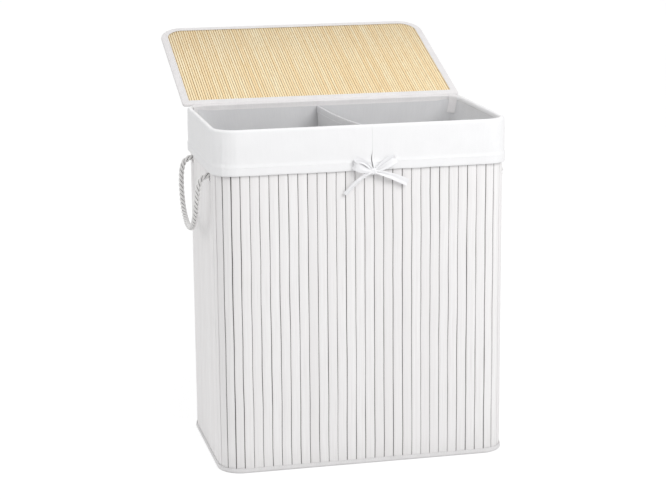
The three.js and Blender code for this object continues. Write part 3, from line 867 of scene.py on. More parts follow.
@dataclass
class SlatWork:
    """Rows of bamboo slats glued to a backing cloth: the basket's walls, its base and the lid's outside."""

    gap: float = 1.2
    corner_gap: float = 2.2
    thickness: float = 1.8
    edge: float = 0.5
    backing: float = 1.0
    bottom: float = 5.55
    top: float = 602.25
    front_slats: int = 26
    side_slats: int = 14
    corner_slats: int = 4
    base_slats: int = 31
    base_inset: float = 3.55
    slot_width: float = 12.4
    slot_height: float = 21.0
    play: float = 0.16
    lean: float = 0.00028
    cuts: int = 15
    draw: random.Random = field(default_factory=lambda: random.Random(26))

    def slat(self, width: float, length: float, thickness: float, edge: float, cuts: int = 0) -> Piece:
        """Models one slat that stands on the origin: X across it, -Y out of its face and Z along it.

        Args:
            width: Its width.
            length: Its length.
            thickness: Its thickness.
            edge: How far its long edges are rounded.
            cuts: How many times its length is divided, so that it can wander.

        Returns:
            The slat, with a UV map of metres across and metres along.
        """
        choose()
        bpy.ops.mesh.primitive_cube_add(size=1, location=(0, 0, 0))
        piece = bpy.context.object
        piece.data.transform(Matrix.Translation((0, 0.5, 0.5)))
        piece.data.transform(Matrix.Diagonal((width * MM, thickness * MM, length * MM, 1)))
        with edit_mode(piece, "EDGE"):
            if cuts:
                pick_edges(piece, self.upright)
                bpy.ops.mesh.subdivide(number_cuts=cuts)
            pick_edges(piece, lambda e: self.upright(e) and e.verts[0].co.y < NEAR)
            bpy.ops.mesh.bevel(offset=edge * MM, segments=2, profile=0.5)
            pick_edges(piece, lambda e: self.ends(e, width, length))
            bpy.ops.mesh.bevel(offset=edge * 0.6 * MM, segments=1)
        layer = piece.data.uv_layers[0].data
        for corner in piece.data.loops:
            spot = piece.data.vertices[corner.vertex_index].co
            layer[corner.index].uv = (spot.x + spot.y, spot.z)
        smooth(piece, 50)
        return piece

    def upright(self, edge: bmesh.types.BMEdge) -> bool:
        """Tells whether an edge of a slat runs along it."""
        return abs(edge.verts[0].co.z - edge.verts[1].co.z) > NEAR

    def ends(self, edge: bmesh.types.BMEdge, width: float, length: float) -> bool:
        """Tells whether an edge of a slat lies across its face at one of its ends.

        Args:
            edge: The edge.
            width: The slat's width.
            length: The slat's length.

        Returns:
            Whether it does.
        """
        one, two = (vert.co for vert in edge.verts)
        level = abs(one.z - two.z) < NEAR and (one.z < NEAR or one.z > length * MM - NEAR)
        return level and max(one.y, two.y) < NEAR and abs(one.x - two.x) > width * MM / 2

    def crooked(self, spot: Vector, place: Matrix) -> None:
        """Lets a slat's edges wander along its length, as those of split bamboo do.

        Args:
            spot: A vertex's place in the slat, which is moved.
            place: The slat's place.
        """
        x, y = place.translation.xy
        seed = x * 310 + y * 530
        shift = 1.1 * wander((x - y) / 0.09, spot.z / 0.09, 6.0)
        shift += 0.15 * wander(spot.z / 0.12, seed, 2.0)
        shift += math.copysign(0.14, spot.x) * wander(spot.z / 0.06, seed, 4.0)
        spot.x += shift * MM

    def tone(self) -> float:
        """Draws the tone of one slat, mostly light."""
        return min(1.0, abs(self.draw.gauss(0.0, 0.42)))

    def stand(self, start: Vector, end: Vector) -> Matrix:
        """Gives the place of a slat that stands between two joints of a wall, a little off true.

        Args:
            start: The joint it starts at.
            end: The joint it ends at.

        Returns:
            The place.
        """
        along = (end - start).normalized()
        middle = (start + end) / 2 + along * self.draw.uniform(-self.play, self.play)
        turn = Matrix.Rotation(math.atan2(along.y, along.x), 4, "Z")
        lean = Matrix.Rotation(self.draw.uniform(-self.lean, self.lean), 4, "Y")
        return Matrix.Translation((middle.x * MM, middle.y * MM, self.bottom * MM)) @ turn @ lean

    def wall(self, name: str, stretches: Sequence[tuple[float, float, int]], holes: int = 0) -> Piece:
        """Builds the slats of one wall.

        Args:
            name: The wall's name.
            stretches: First way, last way and number of slats of each stretch.
            holes: The sign along X of the rope slots that are cut in it, or 0.

        Returns:
            The wall's slats, joined.
        """
        parts = []
        for start, stop, count in stretches:
            joints = [BASKET_PLAN.place(way) for way in even(start, stop, count)]
            joints[-1] = BASKET_PLAN.place(stop - 1e-9)
            width = (joints[1] - joints[0]).length - (self.corner_gap if count == self.corner_slats else self.gap)
            pattern = self.slat(width, self.top - self.bottom, self.thickness, self.edge, self.cuts)
            pairs = list(zip(joints, joints[1:]))
            places = [self.stand(a, b) for a, b in pairs]
            cut = [
                i for i, (a, b) in enumerate(pairs)
                if holes and abs(abs(a.y + b.y) / 2 - ROPE_Y) < width / 2 and abs(b.x - a.x) < 1e-3
            ]
            for i in cut:
                single = copied(twin(pattern, pattern.name), [places[i]], name, [self.tone()], self.crooked)
                parts.append(self.slotted(single, holes, math.copysign(ROPE_Y, joints[i].y)))
            rest = [place for i, place in enumerate(places) if i not in cut]
            parts.append(copied(pattern, rest, name, [self.tone() for _ in rest], self.crooked))
        return joined(parts, name)

    def slotted(self, piece: Piece, side: int, y: float) -> Piece:
        """Cuts the upright slot that a rope leaves the basket by.

        Args:
            piece: The piece that is cut.
            side: The sign along X of its wall.
            y: The Y of the slot.

        Returns:
            The piece.
        """
        choose()
        spot = (side * BASKET_PLAN.half_width * MM, y * MM, ROPE_HEIGHT * MM)
        bpy.ops.mesh.primitive_cylinder_add(
            vertices=24, radius=self.slot_width / 2 * MM, depth=30 * MM, location=spot, rotation=(0, QUARTER, 0),
        )
        tool = bpy.context.object
        with edit_mode(tool):
            for sign in (1, -1):
                pick_verts(tool, lambda v: v.co.x * sign > NEAR)
                drop = sign * (self.slot_width - self.slot_height) / 2
                bpy.ops.transform.translate(value=(0, 0, drop * MM))
        cut_with(piece, tool, "DIFFERENCE")
        return piece

    def cloth(self, name: str, start: float, stop: float) -> Piece:
        """Builds the cloth behind the slats of one wall, as a sheet that follows them.

        Args:
            name: The new piece's name.
            start: The way at which it starts.
            stop: The way at which it ends.

        Returns:
            The cloth.
        """
        out = -self.thickness - self.backing / 2
        line = ways(start, stop, 8, 26, 14)
        heights = even(self.bottom, self.top, 6)
        return lay(name, [[BASKET_PLAN.point(w, out, h) for w in line] for h in heights], self.backing)

    def flat(
        self, name: str, plan: Plan, count: int, thickness: float, gap: float, edge: float,
        tones: Callable[[], float], trimmed: bool = False,
    ) -> Piece:
        """Lays slats side by side on a flat outline, their faces down at height 0 and their length along Y.

        Args:
            name: The piece's name.
            plan: The outline that they fill.
            count: How many slats.
            thickness: Their thickness.
            gap: The gap between them.
            edge: How far their long edges are rounded.
            tones: Draws the tone of each.
            trimmed: Whether their ends follow the outline, instead of being sawn square.

        Returns:
            The slats, joined.
        """
        pitch = 2 * plan.half_width / count
        pattern = self.slat(pitch - gap, 1 / MM, thickness, edge)
        pattern.data.transform(Matrix.Rotation(-QUARTER, 4, "X"))
        turn_over(pattern)
        places, drawn = [], []
        for i in range(count):
            x = -plan.half_width + pitch * (i + 0.5)
            front, rear = (
                plan.reach(min(abs(x) + pitch / 2 - (plan.half_width - radius), radius), plan.half_depth, radius)
                for radius in (plan.front_radius, plan.rear_radius)
            )
            if trimmed:
                front = rear = plan.half_depth + 2
            play = self.draw.uniform(-gap / 8, gap / 8)
            stretch = Matrix.Diagonal((1, (front + rear) * MM, 1, 1))
            places.append(Matrix.Translation(((x + play) * MM, -front * MM, 0)) @ stretch)
            drawn.append(tones())
        piece = copied(pattern, places, name, drawn)
        if trimmed:
            cut_with(piece, lay("outline", filled(plan, thickness / 2), thickness * 3), "INTERSECT")
        return piece

    def build(self) -> None:
        """Builds the four walls and the base, and their backing."""
        walls = {"front": (7, 8, 0), "back": (3, 4, 0), "right": (0, 3, 1), "left": (4, 7, -1)}
        for name, (start, stop, holes) in walls.items():
            stretches = [(float(start), float(stop), self.front_slats)]
            if holes:
                counts = (self.corner_slats, self.side_slats, self.corner_slats)
                stretches = [(start + i, start + i + 1, count) for i, count in enumerate(counts)]
            slats = self.wall(f"{name}_wall_slats", stretches, holes)
            settle(slats, PAINTED, Body.BASKET, f"{name}_slat_mat")
            cloth = self.cloth(f"{name}_wall_backing", start, stop)
            if holes:
                for y in (-ROPE_Y, ROPE_Y):
                    self.slotted(cloth, holes, y)
            # The backing is painted dark, as shade in the slats' gaps.
            settle(cloth, BACKING_PAINTED_SHADE, Body.BASKET)
        self.floor()

    def floor(self) -> None:
        """Builds the slatted base, its slats' faces on the ground."""
        plan = BASKET_PLAN.grown(WALL_MIDDLE - self.base_inset)
        slats = self.flat("base_slats", plan, self.base_slats, self.thickness, self.gap, self.edge, self.tone)
        settle(slats, PAINTED, Body.BASKET, "base_slat_mat")
        height = self.thickness + self.backing / 2
        # The base's backing is painted dark, as shade in the gaps between its slats.
        settle(lay("base_backing", filled(plan, height), self.backing), BACKING_PAINTED_SHADE, Body.BASKET)


def turn_over(piece: Piece) -> None:
    """Mirrors a piece top to bottom, its faces still outwards."""
    piece.data.transform(Matrix.Diagonal((1, 1, -1, 1)))
    piece.data.flip_normals()


# ---- Sewing


@dataclass
class Sewing:
    """Rows of stitches: short rounded lengths of thread that lie on the cloth."""

    length: float = 3.0
    gap: float = 1.5
    thread: float = 0.55

    def stitch(self) -> Piece:
        """Models one stitch along X about the origin.

        Returns:
            The stitch.
        """
        choose()
        bpy.ops.mesh.primitive_cylinder_add(
            vertices=6, radius=self.thread / 2 * MM, depth=self.length * MM, rotation=(0, QUARTER, 0),
        )
        bpy.ops.object.transform_apply(location=True, rotation=True, scale=True)
        piece = bpy.context.object
        with edit_mode(piece):
            for share in (0.33, -0.33):
                bpy.ops.mesh.select_all(action="SELECT")
                bpy.ops.mesh.bisect(plane_co=(self.length * share * MM, 0, 0), plane_no=(1, 0, 0))
            pick_verts(piece, lambda v: abs(v.co.x) > self.length * 0.45 * MM)
            bpy.ops.transform.resize(value=(1, 0.45, 0.45))
            bpy.ops.transform.translate(value=(0, 0, -self.thread * 0.25 * MM))
        smooth(piece, 60)
        return piece

    def sew(self, name: str, line: Sequence[Vector], faces: Sequence[Vector]) -> Piece:
        """Sews along a line.

        Args:
            name: The row's name.
            line: Points in millimetres.
            faces: The cloth's outward direction at each point.

        Returns:
            The row of stitches.
        """
        reach = gone(line)
        count = max(2, int(reach[-1] / (self.length + self.gap)))
        places, k = [], 0
        for i in range(count):
            spot = (i + 0.5) * reach[-1] / count
            while k < len(reach) - 2 and reach[k + 1] < spot:
                k += 1
            share = (spot - reach[k]) / max(reach[k + 1] - reach[k], 1e-9)
            along = (line[k + 1] - line[k]).normalized()
            up = faces[k].lerp(faces[k + 1], share)
            up = (up - along * up.dot(along)).normalized()
            turn = Matrix((along, up.cross(along), up)).transposed().to_4x4()
            places.append(Matrix.Translation(line[k].lerp(line[k + 1], share) * MM) @ turn)
        return copied(self.stitch(), places, name)


SEWING = Sewing()


def stitch_rows(name: str, rows: Iterable[tuple[Sequence[Vector], Vector]], body: Body) -> Piece:
    """Sews rows of stitches and joins them into one piece.

    Args:
        name: The piece's name.
        rows: Each row's points in millimetres, and the way that the cloth faces under it.
        body: The body that the piece rides on.

    Returns:
        The stitches.
    """
    return settle(joined([SEWING.sew(name, line, [face] * len(line)) for line, face in rows], name), THREAD, body)


# ---- Rope handles


@dataclass
class RopeHandle:
    """One rope handle: a twisted rope of three strands, and the knots that hold it inside the wall."""

    side: Side
    rope: float = 10.0
    strands: int = 3
    strand_middle: float = 2.62
    strand_radius: float = 2.42
    lay_pitch: float = 27.0
    around: int = 30
    bend_radius: float = 20.0
    standing_bend: float = 60.0
    flat_bend: float = 50.5
    flat_out: float = 7.0
    flat_rise: float = 15.6
    inside: float = -4.5
    knot_out: float = -7.5
    knot_ring: float = 5.2
    knot_tube: float = 4.3
    knot_turns: float = 1.08
    knot_up: float = 0.0
    standing: tuple[Place, ...] = (
        (20.6, -91.8, -21.0), (22.2, -89.5, -34.0), (23.2, -85.0, -50.0), (23.7, -77.0, -67.0),
        (24.0, -65.0, -83.0), (24.0, -48.5, -96.0), (24.0, -26.5, -104.5), (24.0, 0.0, -107.5),
    )
    flat: tuple[Place, ...] = (
        (7.0, -88.0, -28.0), (7.0, -82.0, -43.0), (7.0, -74.0, -59.0), (7.0, -62.5, -76.0),
        (7.0, -46.5, -92.0), (7.0, -25.0, -103.0), (7.0, 0.0, -107.0),
    )

    def place(self, out: float, y: float, up: float) -> Vector:
        """Turns a place counted out from the slats and up from the exit into a point."""
        return Vector((self.side.value * (BASKET_PLAN.half_width + out), y, ROPE_HEIGHT + up))

    def middle_line(self) -> list[Vector]:
        """Lists the rope's middle line, from the inside of the wall at the front to the inside at the rear.

        Returns:
            The line's points.
        """
        radius = self.bend_radius
        if self.side is Side.LEFT:
            turns = [math.radians(self.standing_bend * i / 4) for i in range(5)]
            start = [(radius * math.sin(t), -ROPE_Y, radius * (math.cos(t) - 1)) for t in turns]
            half = [(self.inside, -ROPE_Y, 0.0), *start, *self.standing]
        else:
            turns = [math.radians(self.flat_bend * i / 3) for i in range(4)]
            bends = [(radius * (1 - math.cos(t)), radius * math.sin(t)) for t in turns]
            inner = [(self.knot_out + out, -ROPE_Y, self.flat_rise - down) for out, down in bends]
            outer = [(self.flat_out - out, -ROPE_Y, down - self.flat_rise) for out, down in bends[-2::-1]]
            half = [*inner, *outer, *self.flat]
        whole = [*half, *[(out, -y, up) for out, y, up in half[-2::-1]]]
        return smooth_line([self.place(*p) for p in whole], 8)

    def profile(self, turn: float) -> Pair:
        """Gives the rope's radius at a turn from a strand's middle, and how deep in a groove that is.

        Args:
            turn: The turn, in radians.

        Returns:
            The radius, and the depth as a share of 1.
        """
        sector = math.tau / self.strands
        off = (turn + sector / 2) % sector - sector / 2
        rest = max(self.strand_radius**2 - (self.strand_middle * math.sin(off)) ** 2, 0.02)
        radius = self.strand_middle * math.cos(off) + math.sqrt(rest)
        full = self.strand_middle + self.strand_radius
        return radius, min(1.0, (full - radius) / (full * 0.45))

    def twisted(self, name: str, line: Sequence[Vector], size: float = 1.0) -> Piece:
        """Twists a rope along a middle line and closes its ends.

        Args:
            name: The piece's name.
            line: The middle line.
            size: The rope's thickness as a share of the full one.

        Returns:
            The rope, its groove depth kept as an attribute.
        """
        rows, depths = [], []
        side = Vector((0, 0, 1))
        for i, (point, far) in enumerate(zip(line, gone(line))):
            ahead = heading(line, i)
            side = (side - ahead * side.dot(ahead)).normalized()
            other = ahead.cross(side)
            twist = -math.tau * far / self.lay_pitch
            row = []
            for k in range(self.around + 1):
                turn = math.tau * k / self.around
                radius, depth = self.profile(turn - twist)
                row.append(point + (side * math.cos(turn) + other * math.sin(turn)) * radius * size)
                depths.append(depth)
            rows.append(row)
        piece = lay(name, rows)
        layer = piece.data.attributes.new("groove", "FLOAT", "POINT")
        layer.data.foreach_set("value", depths)
        with edit_mode(piece, whole=True):
            bpy.ops.mesh.remove_doubles(threshold=NEAR)
            bpy.ops.mesh.select_all(action="DESELECT")
            bpy.ops.mesh.select_non_manifold(extend=False)
            bpy.ops.mesh.fill_holes(sides=0)
            bpy.ops.mesh.select_all(action="SELECT")
            bpy.ops.mesh.normals_make_consistent(inside=False)
        smooth(piece, 80)
        return piece

    def knot(self, name: str, y: float) -> Piece:
        """Ties the knot behind one hole: the rope wound once round itself.

        Args:
            name: The new piece's name.
            y: The Y of its hole.

        Returns:
            The knot.
        """
        line = []
        for i in range(41):
            turn = math.tau * self.knot_turns * i / 40
            radius = self.knot_ring + 0.5 * math.sin(2 * turn)
            up = self.knot_up + radius * math.sin(turn)
            line.append(self.place(self.knot_out, y + radius * math.cos(turn), up))
        return self.twisted(name, line, self.knot_tube / (self.strand_middle + self.strand_radius))

    def build(self) -> None:
        """Builds the rope and its two knots."""
        word = self.side.name.lower()
        line = self.middle_line()
        steps = [line[0]]
        for point in line[1:]:
            count = max(1, round((point - steps[-1]).length / 0.9))
            last = steps[-1]
            steps += [last.lerp(point, (i + 1) / count) for i in range(count)]
        rope = self.twisted(f"{word}_rope", steps)
        ends = {"front": -ROPE_Y, "rear": ROPE_Y}
        knots = [self.knot(f"{word}_rope_{end}_knot", y) for end, y in ends.items()]
        for end, knot in zip(ends, knots):
            settle(knot, ROPE, Body.BASKET, f"{word}_rope_{end}_end")
        settle(rope, ROPE, None, f"{word}_rope_loop")
        handle, end = Body.RIGHT_HANDLE, self.place(self.flat_out, 0.0, -14.0)
        if self.side is Side.LEFT:
            handle, end = Body.LEFT_HANDLE, self.place(18.5, 0.0, -9.0)
        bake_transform(rope)


# ---- Bindings


@dataclass
class Binding:
    """Tape folded round the rim's wire and the base's wire, and sewn down both faces of the wall."""

    thickness: float = 0.8
    nose: float = 2.85
    leg: float = 2.1
    ease: float = 0.25
    rim_height: float = 604.55
    rim_end: float = 588.0
    base_height: float = 3.25
    base_end: float = 9.0
    stitch_in: float = 2.0
    pucker: dict[int, float] = field(default_factory=lambda: {1: 0.12, -1: 0.3})
    puckers: dict[int, int] = field(default_factory=lambda: {1: 40, -1: 75})

    def section(self, height: float, end: float, up: int) -> list[Pair]:
        """Draws the fold in (out, height), from the outer leg round the nose to the inner leg.

        Args:
            height: The height of the nose's middle.
            end: The height at which both legs end.
            up: 1 where the nose is on top, -1 where it is below.

        Returns:
            The section's points.
        """
        shoulder = height - up * self.nose * 0.9
        outer = [(WALL_MIDDLE + self.leg, z) for z in even(end, shoulder, 3)[:-1]]
        outer.append((WALL_MIDDLE + self.leg + self.ease, shoulder))
        fold = bend((WALL_MIDDLE, height), self.nose, 0.0, up * math.pi, 10)
        inner = [(WALL_MIDDLE - self.leg, z) for z in even(shoulder, end, 3)[1:]]
        return [*outer, *fold, (WALL_MIDDLE - self.leg - self.ease, shoulder), *inner]

    def fold(self, name: str, height: float, end: float, up: int) -> Piece:
        """Lays the tape all the way round.

        Args:
            name: The new piece's name.
            height: The height of the nose's middle.
            end: The height at which both legs end.
            up: 1 where the nose is on top, -1 where it is below.

        Returns:
            The tape.
        """
        line = ways(*WAY_ROUND, 16, 90, 50)
        rows = []
        for k, (out, z) in enumerate(self.section(height, end, up)):
            deep = self.pucker[up] * (1.0 if abs(z - height) < self.nose else 0.5)
            row = []
            for w in line:
                pucker = deep * wander(w * self.puckers[up], k * 0.4, 3.0)
                sway = 0.35 * wander(w * 9, 0.0, 8.0) if abs(z - end) < 0.1 else 0.0
                row.append(BASKET_PLAN.point(w, out + (pucker if out > WALL_MIDDLE else -pucker), z + sway))
            rows.append(row)
        return lay(name, rows, self.thickness, ring=True)

    def sewn(self, name: str, height: float) -> Piece:
        """Sews one row of stitches all the way round, on the outside.

        Args:
            name: The new piece's name.
            height: The row's height.

        Returns:
            The stitches.
        """
        line = ways(*WAY_ROUND, 16, 60, 34)
        out = WALL_MIDDLE + (self.leg + self.thickness / 2 + 0.1)
        points = [BASKET_PLAN.point(w, out, height) for w in line]
        return SEWING.sew(name, points, [BASKET_PLAN.face(w) for w in line])

    def build(self) -> None:
        """Builds both bindings and their stitches."""
        rim = self.fold("rim_tape", self.rim_height, self.rim_end, 1)
        settle(rim, BINDING, Body.BASKET, "rim_binding")
        base = self.fold("base_tape", self.base_height, self.base_end, -1)
        # The base tape is painted a little darker than the rim's, as painted shade.
        settle(base, BASE_BINDING_PAINTED_SHADE, Body.BASKET, "base_binding")
        heights = {"rim": self.rim_end + self.stitch_in, "base": self.base_end - self.stitch_in}
        for word, height in heights.items():
            settle(self.sewn(f"{word}_tape_stitches", height), THREAD, Body.BASKET)


# ---- Liner


@dataclass
class Liner:
    """The cloth bag inside the basket: its walls, the floor of each bin and the wall between the bins."""

    thickness: float = 0.9
    out: float = -5.4
    floor: float = 3.6
    floor_gap: float = 2.4
    floor_thickness: float = 0.6
    top: float = 600.7
    rear_top: float = 597.0
    side_draw: float = 7.25
    taper: float = 553.0
    divider_front: float = 15.0
    divider_rear: float = -12.0
    divider_thickness: float = 1.6
    divider_half: float = 152.6
    divider_top: float = 603.5
    rear_drop: float = 6.0
    sag: float = 5.0
    hem: float = 12.5
    hem_leg: float = 12.0
    hem_out: float = 1.5
    hem_thickness: float = 0.5

    def plan(self, height: float) -> Plan:
        """Gives the basket's outline, drawn in at the sides below the rim."""
        share = clamp((height - self.taper) / (self.top - self.taper))
        return replace(BASKET_PLAN, half_width=BASKET_PLAN.half_width - self.side_draw * (1 - eased(share)))

    def crease(self, spot: Vector, height: float) -> float:
        """Gives how far the cloth stands in at a place: soft creases, none by the divider or at the top.

        Args:
            spot: The place on the plain wall.
            height: Its height.

        Returns:
            The distance.
        """
        ripple = 0.75 + 0.75 * wander(spot.x / 55 + spot.y / 48, height / 150, 1.0)
        fold = max(0.0, wander(spot.x / 21 - spot.y / 17, height / 260, 5.0)) * 1.6
        clear = clamp((abs(spot.x - self.divider_x(spot.y)) - 6) / 30)
        return (ripple + fold) * clear * clamp((self.top - height) / 45)

    def divider_x(self, y: float) -> float:
        """Gives the X of the divider's middle at this Y."""
        share = (y + self.divider_half) / (2 * self.divider_half)
        return self.divider_front + (self.divider_rear - self.divider_front) * share

    def walls(self) -> Piece:
        """Lays the bag's walls in one ring.

        Returns:
            The walls.
        """
        line, steps = ways(*WAY_ROUND, 14, 44, 26), 40
        rows = []
        for i in range(steps + 1):
            row = []
            for w in line:
                corner = w % 8
                rise = min(clamp((corner - 2.6) / 0.4), clamp((4.4 - corner) / 0.4))
                top = self.top + (self.rear_top - self.top) * rise
                height = self.floor + (top - self.floor) * i / steps
                plan = self.plan(height)
                inward = self.crease(plan.point(w, self.out, height), height)
                row.append(plan.point(w, self.out - inward, height))
            rows.append(row)
        return lay("liner_walls", rows, self.thickness, ring=True)

    def bin_floor(self, name: str, side: int) -> Piece:
        """Lays the floor of one bin, a little crumpled.

        Args:
            name: The piece's name.
            side: -1 for the left bin, 1 for the right one.

        Returns:
            The floor.
        """
        plan, steps = self.plan(self.floor).grown(self.out - self.thickness / 2 - self.floor_gap), 24
        radius = plan.front_radius
        rows = []
        for y in spread(plan.half_depth, steps):
            inner = self.divider_x(y) + side * self.divider_thickness
            outer = side * plan.reach(abs(y) - (plan.half_depth - radius), plan.half_width, radius)
            row = []
            for x in even(inner, outer, steps):
                rise = 0.5 + 0.6 * max(0.0, wander(x / 30, y / 24, 2.0))
                row.append(Vector((x, y, self.floor + rise)))
            rows.append(row)
        return lay(name, rows, self.floor_thickness)

    def edge(self, y: float) -> float:
        """Gives the height of the divider's sagging top edge at this Y."""
        share = y / self.divider_half
        return self.divider_top - self.sag * (1 - share * share) - self.rear_drop * (1 + share) / 2

    def divider(self) -> Piece:
        """Lays the wall between the bins.

        Returns:
            The wall, without its hem.
        """
        steps = 30
        rows = []
        for i in range(steps + 1):
            row = []
            for y in spread(self.divider_half, 32):
                high = self.edge(y) - self.divider_thickness
                height = self.floor + (high - self.floor) * i / steps
                calm = min(1.0, (self.divider_half - abs(y)) / 25) * min(1.0, (high - height) / 60)
                sway = 1.5 * wander(y / 46, height / 90, 7.0) * calm
                row.append(Vector((self.divider_x(y) + sway, y, height)))
            rows.append(row)
        return lay("liner_divider_cloth", rows, self.divider_thickness)

    def divider_hem(self) -> Piece:
        """Folds the hem over the divider's top edge.

        Returns:
            The hem.
        """
        rows = []
        fold = bend((0.0, 0.0), self.hem_out, 0.0, math.pi, 8)
        drops = [(self.hem_out, -self.hem + self.hem_leg * i / 4) for i in range(4)]
        section = [*drops, *fold, *[(-x, z) for x, z in reversed(drops)]]
        for k, (across, drop) in enumerate(section):
            row = []
            for y in spread(self.divider_half, 48):
                pucker = math.copysign(0.12 * wander(y / 7, k * 0.3, 4.0), across)
                row.append(Vector((self.divider_x(y) + across + pucker, y, self.edge(y) - self.hem_out + drop)))
            rows.append(row)
        return lay("liner_divider_hem", rows, self.hem_thickness)

    def hem_line(self, side: int) -> list[Vector]:
        """Lists the points of the stitches on one side of the divider's hem.

        Args:
            side: -1 for its left face, 1 for its right one.

        Returns:
            The points, from front to back.
        """
        line = [Vector((0.0, y, 0.0)) for y in spread(self.divider_half, 40)]
        for point in line:
            point.x = self.divider_x(point.y) + side * (self.hem_out + 0.32)
            point.z = self.edge(point.y) - self.hem_out - self.hem + 3.2
        return line

    def build(self) -> None:
        """Builds the liner: its walls, the floor of each bin, and the divider with its hem and stitches."""
        walls = self.walls()
        # The bag inside the basket takes the liner's cloth painted darker, as painted shade.
        settle(walls, LINER_IN_PAINTED_SHADE, Body.BASKET, *(f"liner_{side}_panel" for side in ("front", "back", "left", "right")))
        for name, side, width in (("liner_left_floor_cloth", -1, 0.242), ("liner_right_floor_cloth", 1, 0.239)):
            piece = self.bin_floor(name, side)
            settle(piece, LINER_IN_PAINTED_SHADE, Body.BASKET, name.replace("_cloth", ""))
        cloth, hem = self.divider(), self.divider_hem()
        settle(cloth, LINER_IN_PAINTED_SHADE, Body.BASKET, "liner_divider")
        settle(hem, LINER_IN_PAINTED_SHADE, Body.BASKET)
        rows = [(self.hem_line(side), Vector((side, 0, 0))) for side in (1, -1)]
        stitches = stitch_rows("liner_divider_stitches", rows, Body.BASKET)


# ---- Cuff and bow


@dataclass
class Cuff:
    """The liner's cuff, folded over the rim, with a turned-up hem, a seam at the front and a slit under it."""

    thickness: float = 0.9
    inner: float = -5.4
    outer: float = 2.6
    hem_out: float = 3.8
    fold_height: float = 604.55
    fold_radius: float = 4.0
    inner_end: float = 601.0
    bottom: float = 530.45
    hem_top: float = 546.0
    hem_step: float = 2.3
    hem_radius: float = 1.15
    hem_back: float = 3.6
    slit_top: float = 563.0
    left_start: float = 4.722
    right_stop: float = 10.278
    hem_stitch: float = 544.2
    stitch_off: float = 0.012
    ribbon_thickness: float = 0.7
    ribbon_bottom: float = 532.3
    ribbon_width: float = 10.6
    ribbon_off: float = 7.0
    ribbon_gather: float = 6.5
    knot: Place = (13.0, -168.0, 531.0)

    def section(self) -> list[Pair]:
        """Draws the cuff's section in (out, height), from the foot of its inner leg to the end of its hem.

        Returns:
            The section's points.
        """
        inner = [(self.inner, height) for height in even(self.inner_end, self.fold_height, 3)[:-1]]
        fold = bend((WALL_MIDDLE, self.fold_height), self.fold_radius, math.pi, 0.0, 12)
        drop = self.fold_height - self.hem_top - self.hem_step
        leg = [(self.outer, self.fold_height - drop * i / 14) for i in range(1, 15)]
        rise = self.hem_top - self.bottom - self.hem_radius
        hem = [(self.hem_out, self.hem_top - rise * i / 4) for i in range(5)]
        centre = (self.hem_out - self.hem_radius, self.bottom + self.hem_radius)
        turn = bend(centre, self.hem_radius, 0.0, -math.pi, 6)[1:]
        back = [(self.hem_out - 2 * self.hem_radius, centre[1] + self.hem_back * (i + 1)) for i in range(3)]
        return [*inner, *fold, *leg, *hem, *turn, *back]

    def ripple(self, way: float, height: float) -> float:
        """Gives how far the cloth stands proud at a place: soft waves, and creases round the corners.

        Args:
            way: The way round the basket.
            height: The height in the plain section.

        Returns:
            The distance.
        """
        spot = BASKET_PLAN.place(way)
        hang = clamp((self.fold_height - height) / 22)
        soft = 0.45 + 0.5 * wander(spot.x / 60 + 9, height / 34 + spot.y / 50, 11.0)
        turn = way % 8
        left = max(0.0, 1 - abs(turn - 6.55) / 0.75)
        right = max(0.0, 1 - min(abs(turn - 0.45), abs(turn - 8.45)) / 0.7)
        along = (spot.x - spot.y) / 7.5
        creased = (left + 0.7 * right) * (0.7 + 1.5 * wander(along, height / 95, 17.0))
        gather = 0.0
        if spot.y < FRONT_Y:
            pull = math.hypot((spot.x - SEAM_X) / 30, (height - 533) / 26)
            gather = max(0.0, 1 - pull) * (0.8 + 1.1 * math.sin((spot.x - SEAM_X) / 3.6 + 0.9))
        return max(0.0, soft + creased + gather) * hang

    def slit(self, height: float) -> Pair:
        """Gives the X of the slit's middle and half its width at a height, seen from the front.

        Args:
            height: The height.

        Returns:
            The X and the half width.
        """
        down = max(0.0, self.slit_top - height)
        straight = 34
        middle = -1.7 * math.sin(min(down, straight) / straight * math.pi * 1.35) * min(1.0, down / 8)
        half = 0.1 + min(1.0, down / 9) * 0.6 + max(0.0, down - 30) * 0.16
        return SEAM_X + middle, half

    def surface(self, way: float, out: float, height: float, side: int) -> Vector:
        """Gives a point of the cuff.

        Args:
            way: The way round the basket.
            out: How far out it lies in the plain section.
            height: Its height in the plain section.
            side: -1 on the left half of the cuff, 1 on the right one.

        Returns:
            The point, with its ripple, its uneven hem and the slit.
        """
        if out <= WALL_MIDDLE:
            return BASKET_PLAN.point(way, out, height)
        spot = BASKET_PLAN.place(way)
        sway = 0.9 * wander(spot.x / 38, spot.y / 38, 21.0) * clamp((self.hem_top + 8 - height) / 20)
        point = BASKET_PLAN.point(way, out + self.ripple(way, height), height + sway)
        if point.y < FRONT_Y:
            middle, half = self.slit(height)
            near = math.exp(-abs(point.x - SEAM_X) / 16)
            point.x += (middle + side * half - SEAM_X) * near
            if side > 0:
                point.y -= 1.3 * near * clamp((self.slit_top - height) / 20)
        return point

    def run(self, side: int, off: float, steps: tuple[int, int, int]) -> list[float]:
        """Lists ways along one half of the cuff, from its rear end to this far off the seam or back.

        Args:
            side: -1 for the left half, 1 for the right one.
            off: How far off the seam it ends, as a way.
            steps: Its steps, as for ways.

        Returns:
            The ways.
        """
        seam = front_way(SEAM_X)
        ends = (self.left_start, seam - off) if side < 0 else (seam + off, self.right_stop)
        return ways(*ends, *steps)

    def half(self, name: str, side: int) -> Piece:
        """Lays one half of the cuff, from the seam to its end at a rear corner.

        Args:
            name: The new piece's name.
            side: -1 for the left half, 1 for the right one.

        Returns:
            The half.
        """
        line = self.run(side, 0.0, (26, 72, 36))
        rows = [[self.surface(w, out, height, side) for w in line] for out, height in self.section()]
        for row in rows:
            end = row[-1] if side < 0 else row[0]
            if end.y < FRONT_Y and end.z > self.slit_top:
                end.x = SEAM_X + side * 0.1
        return lay(name, rows, self.thickness)

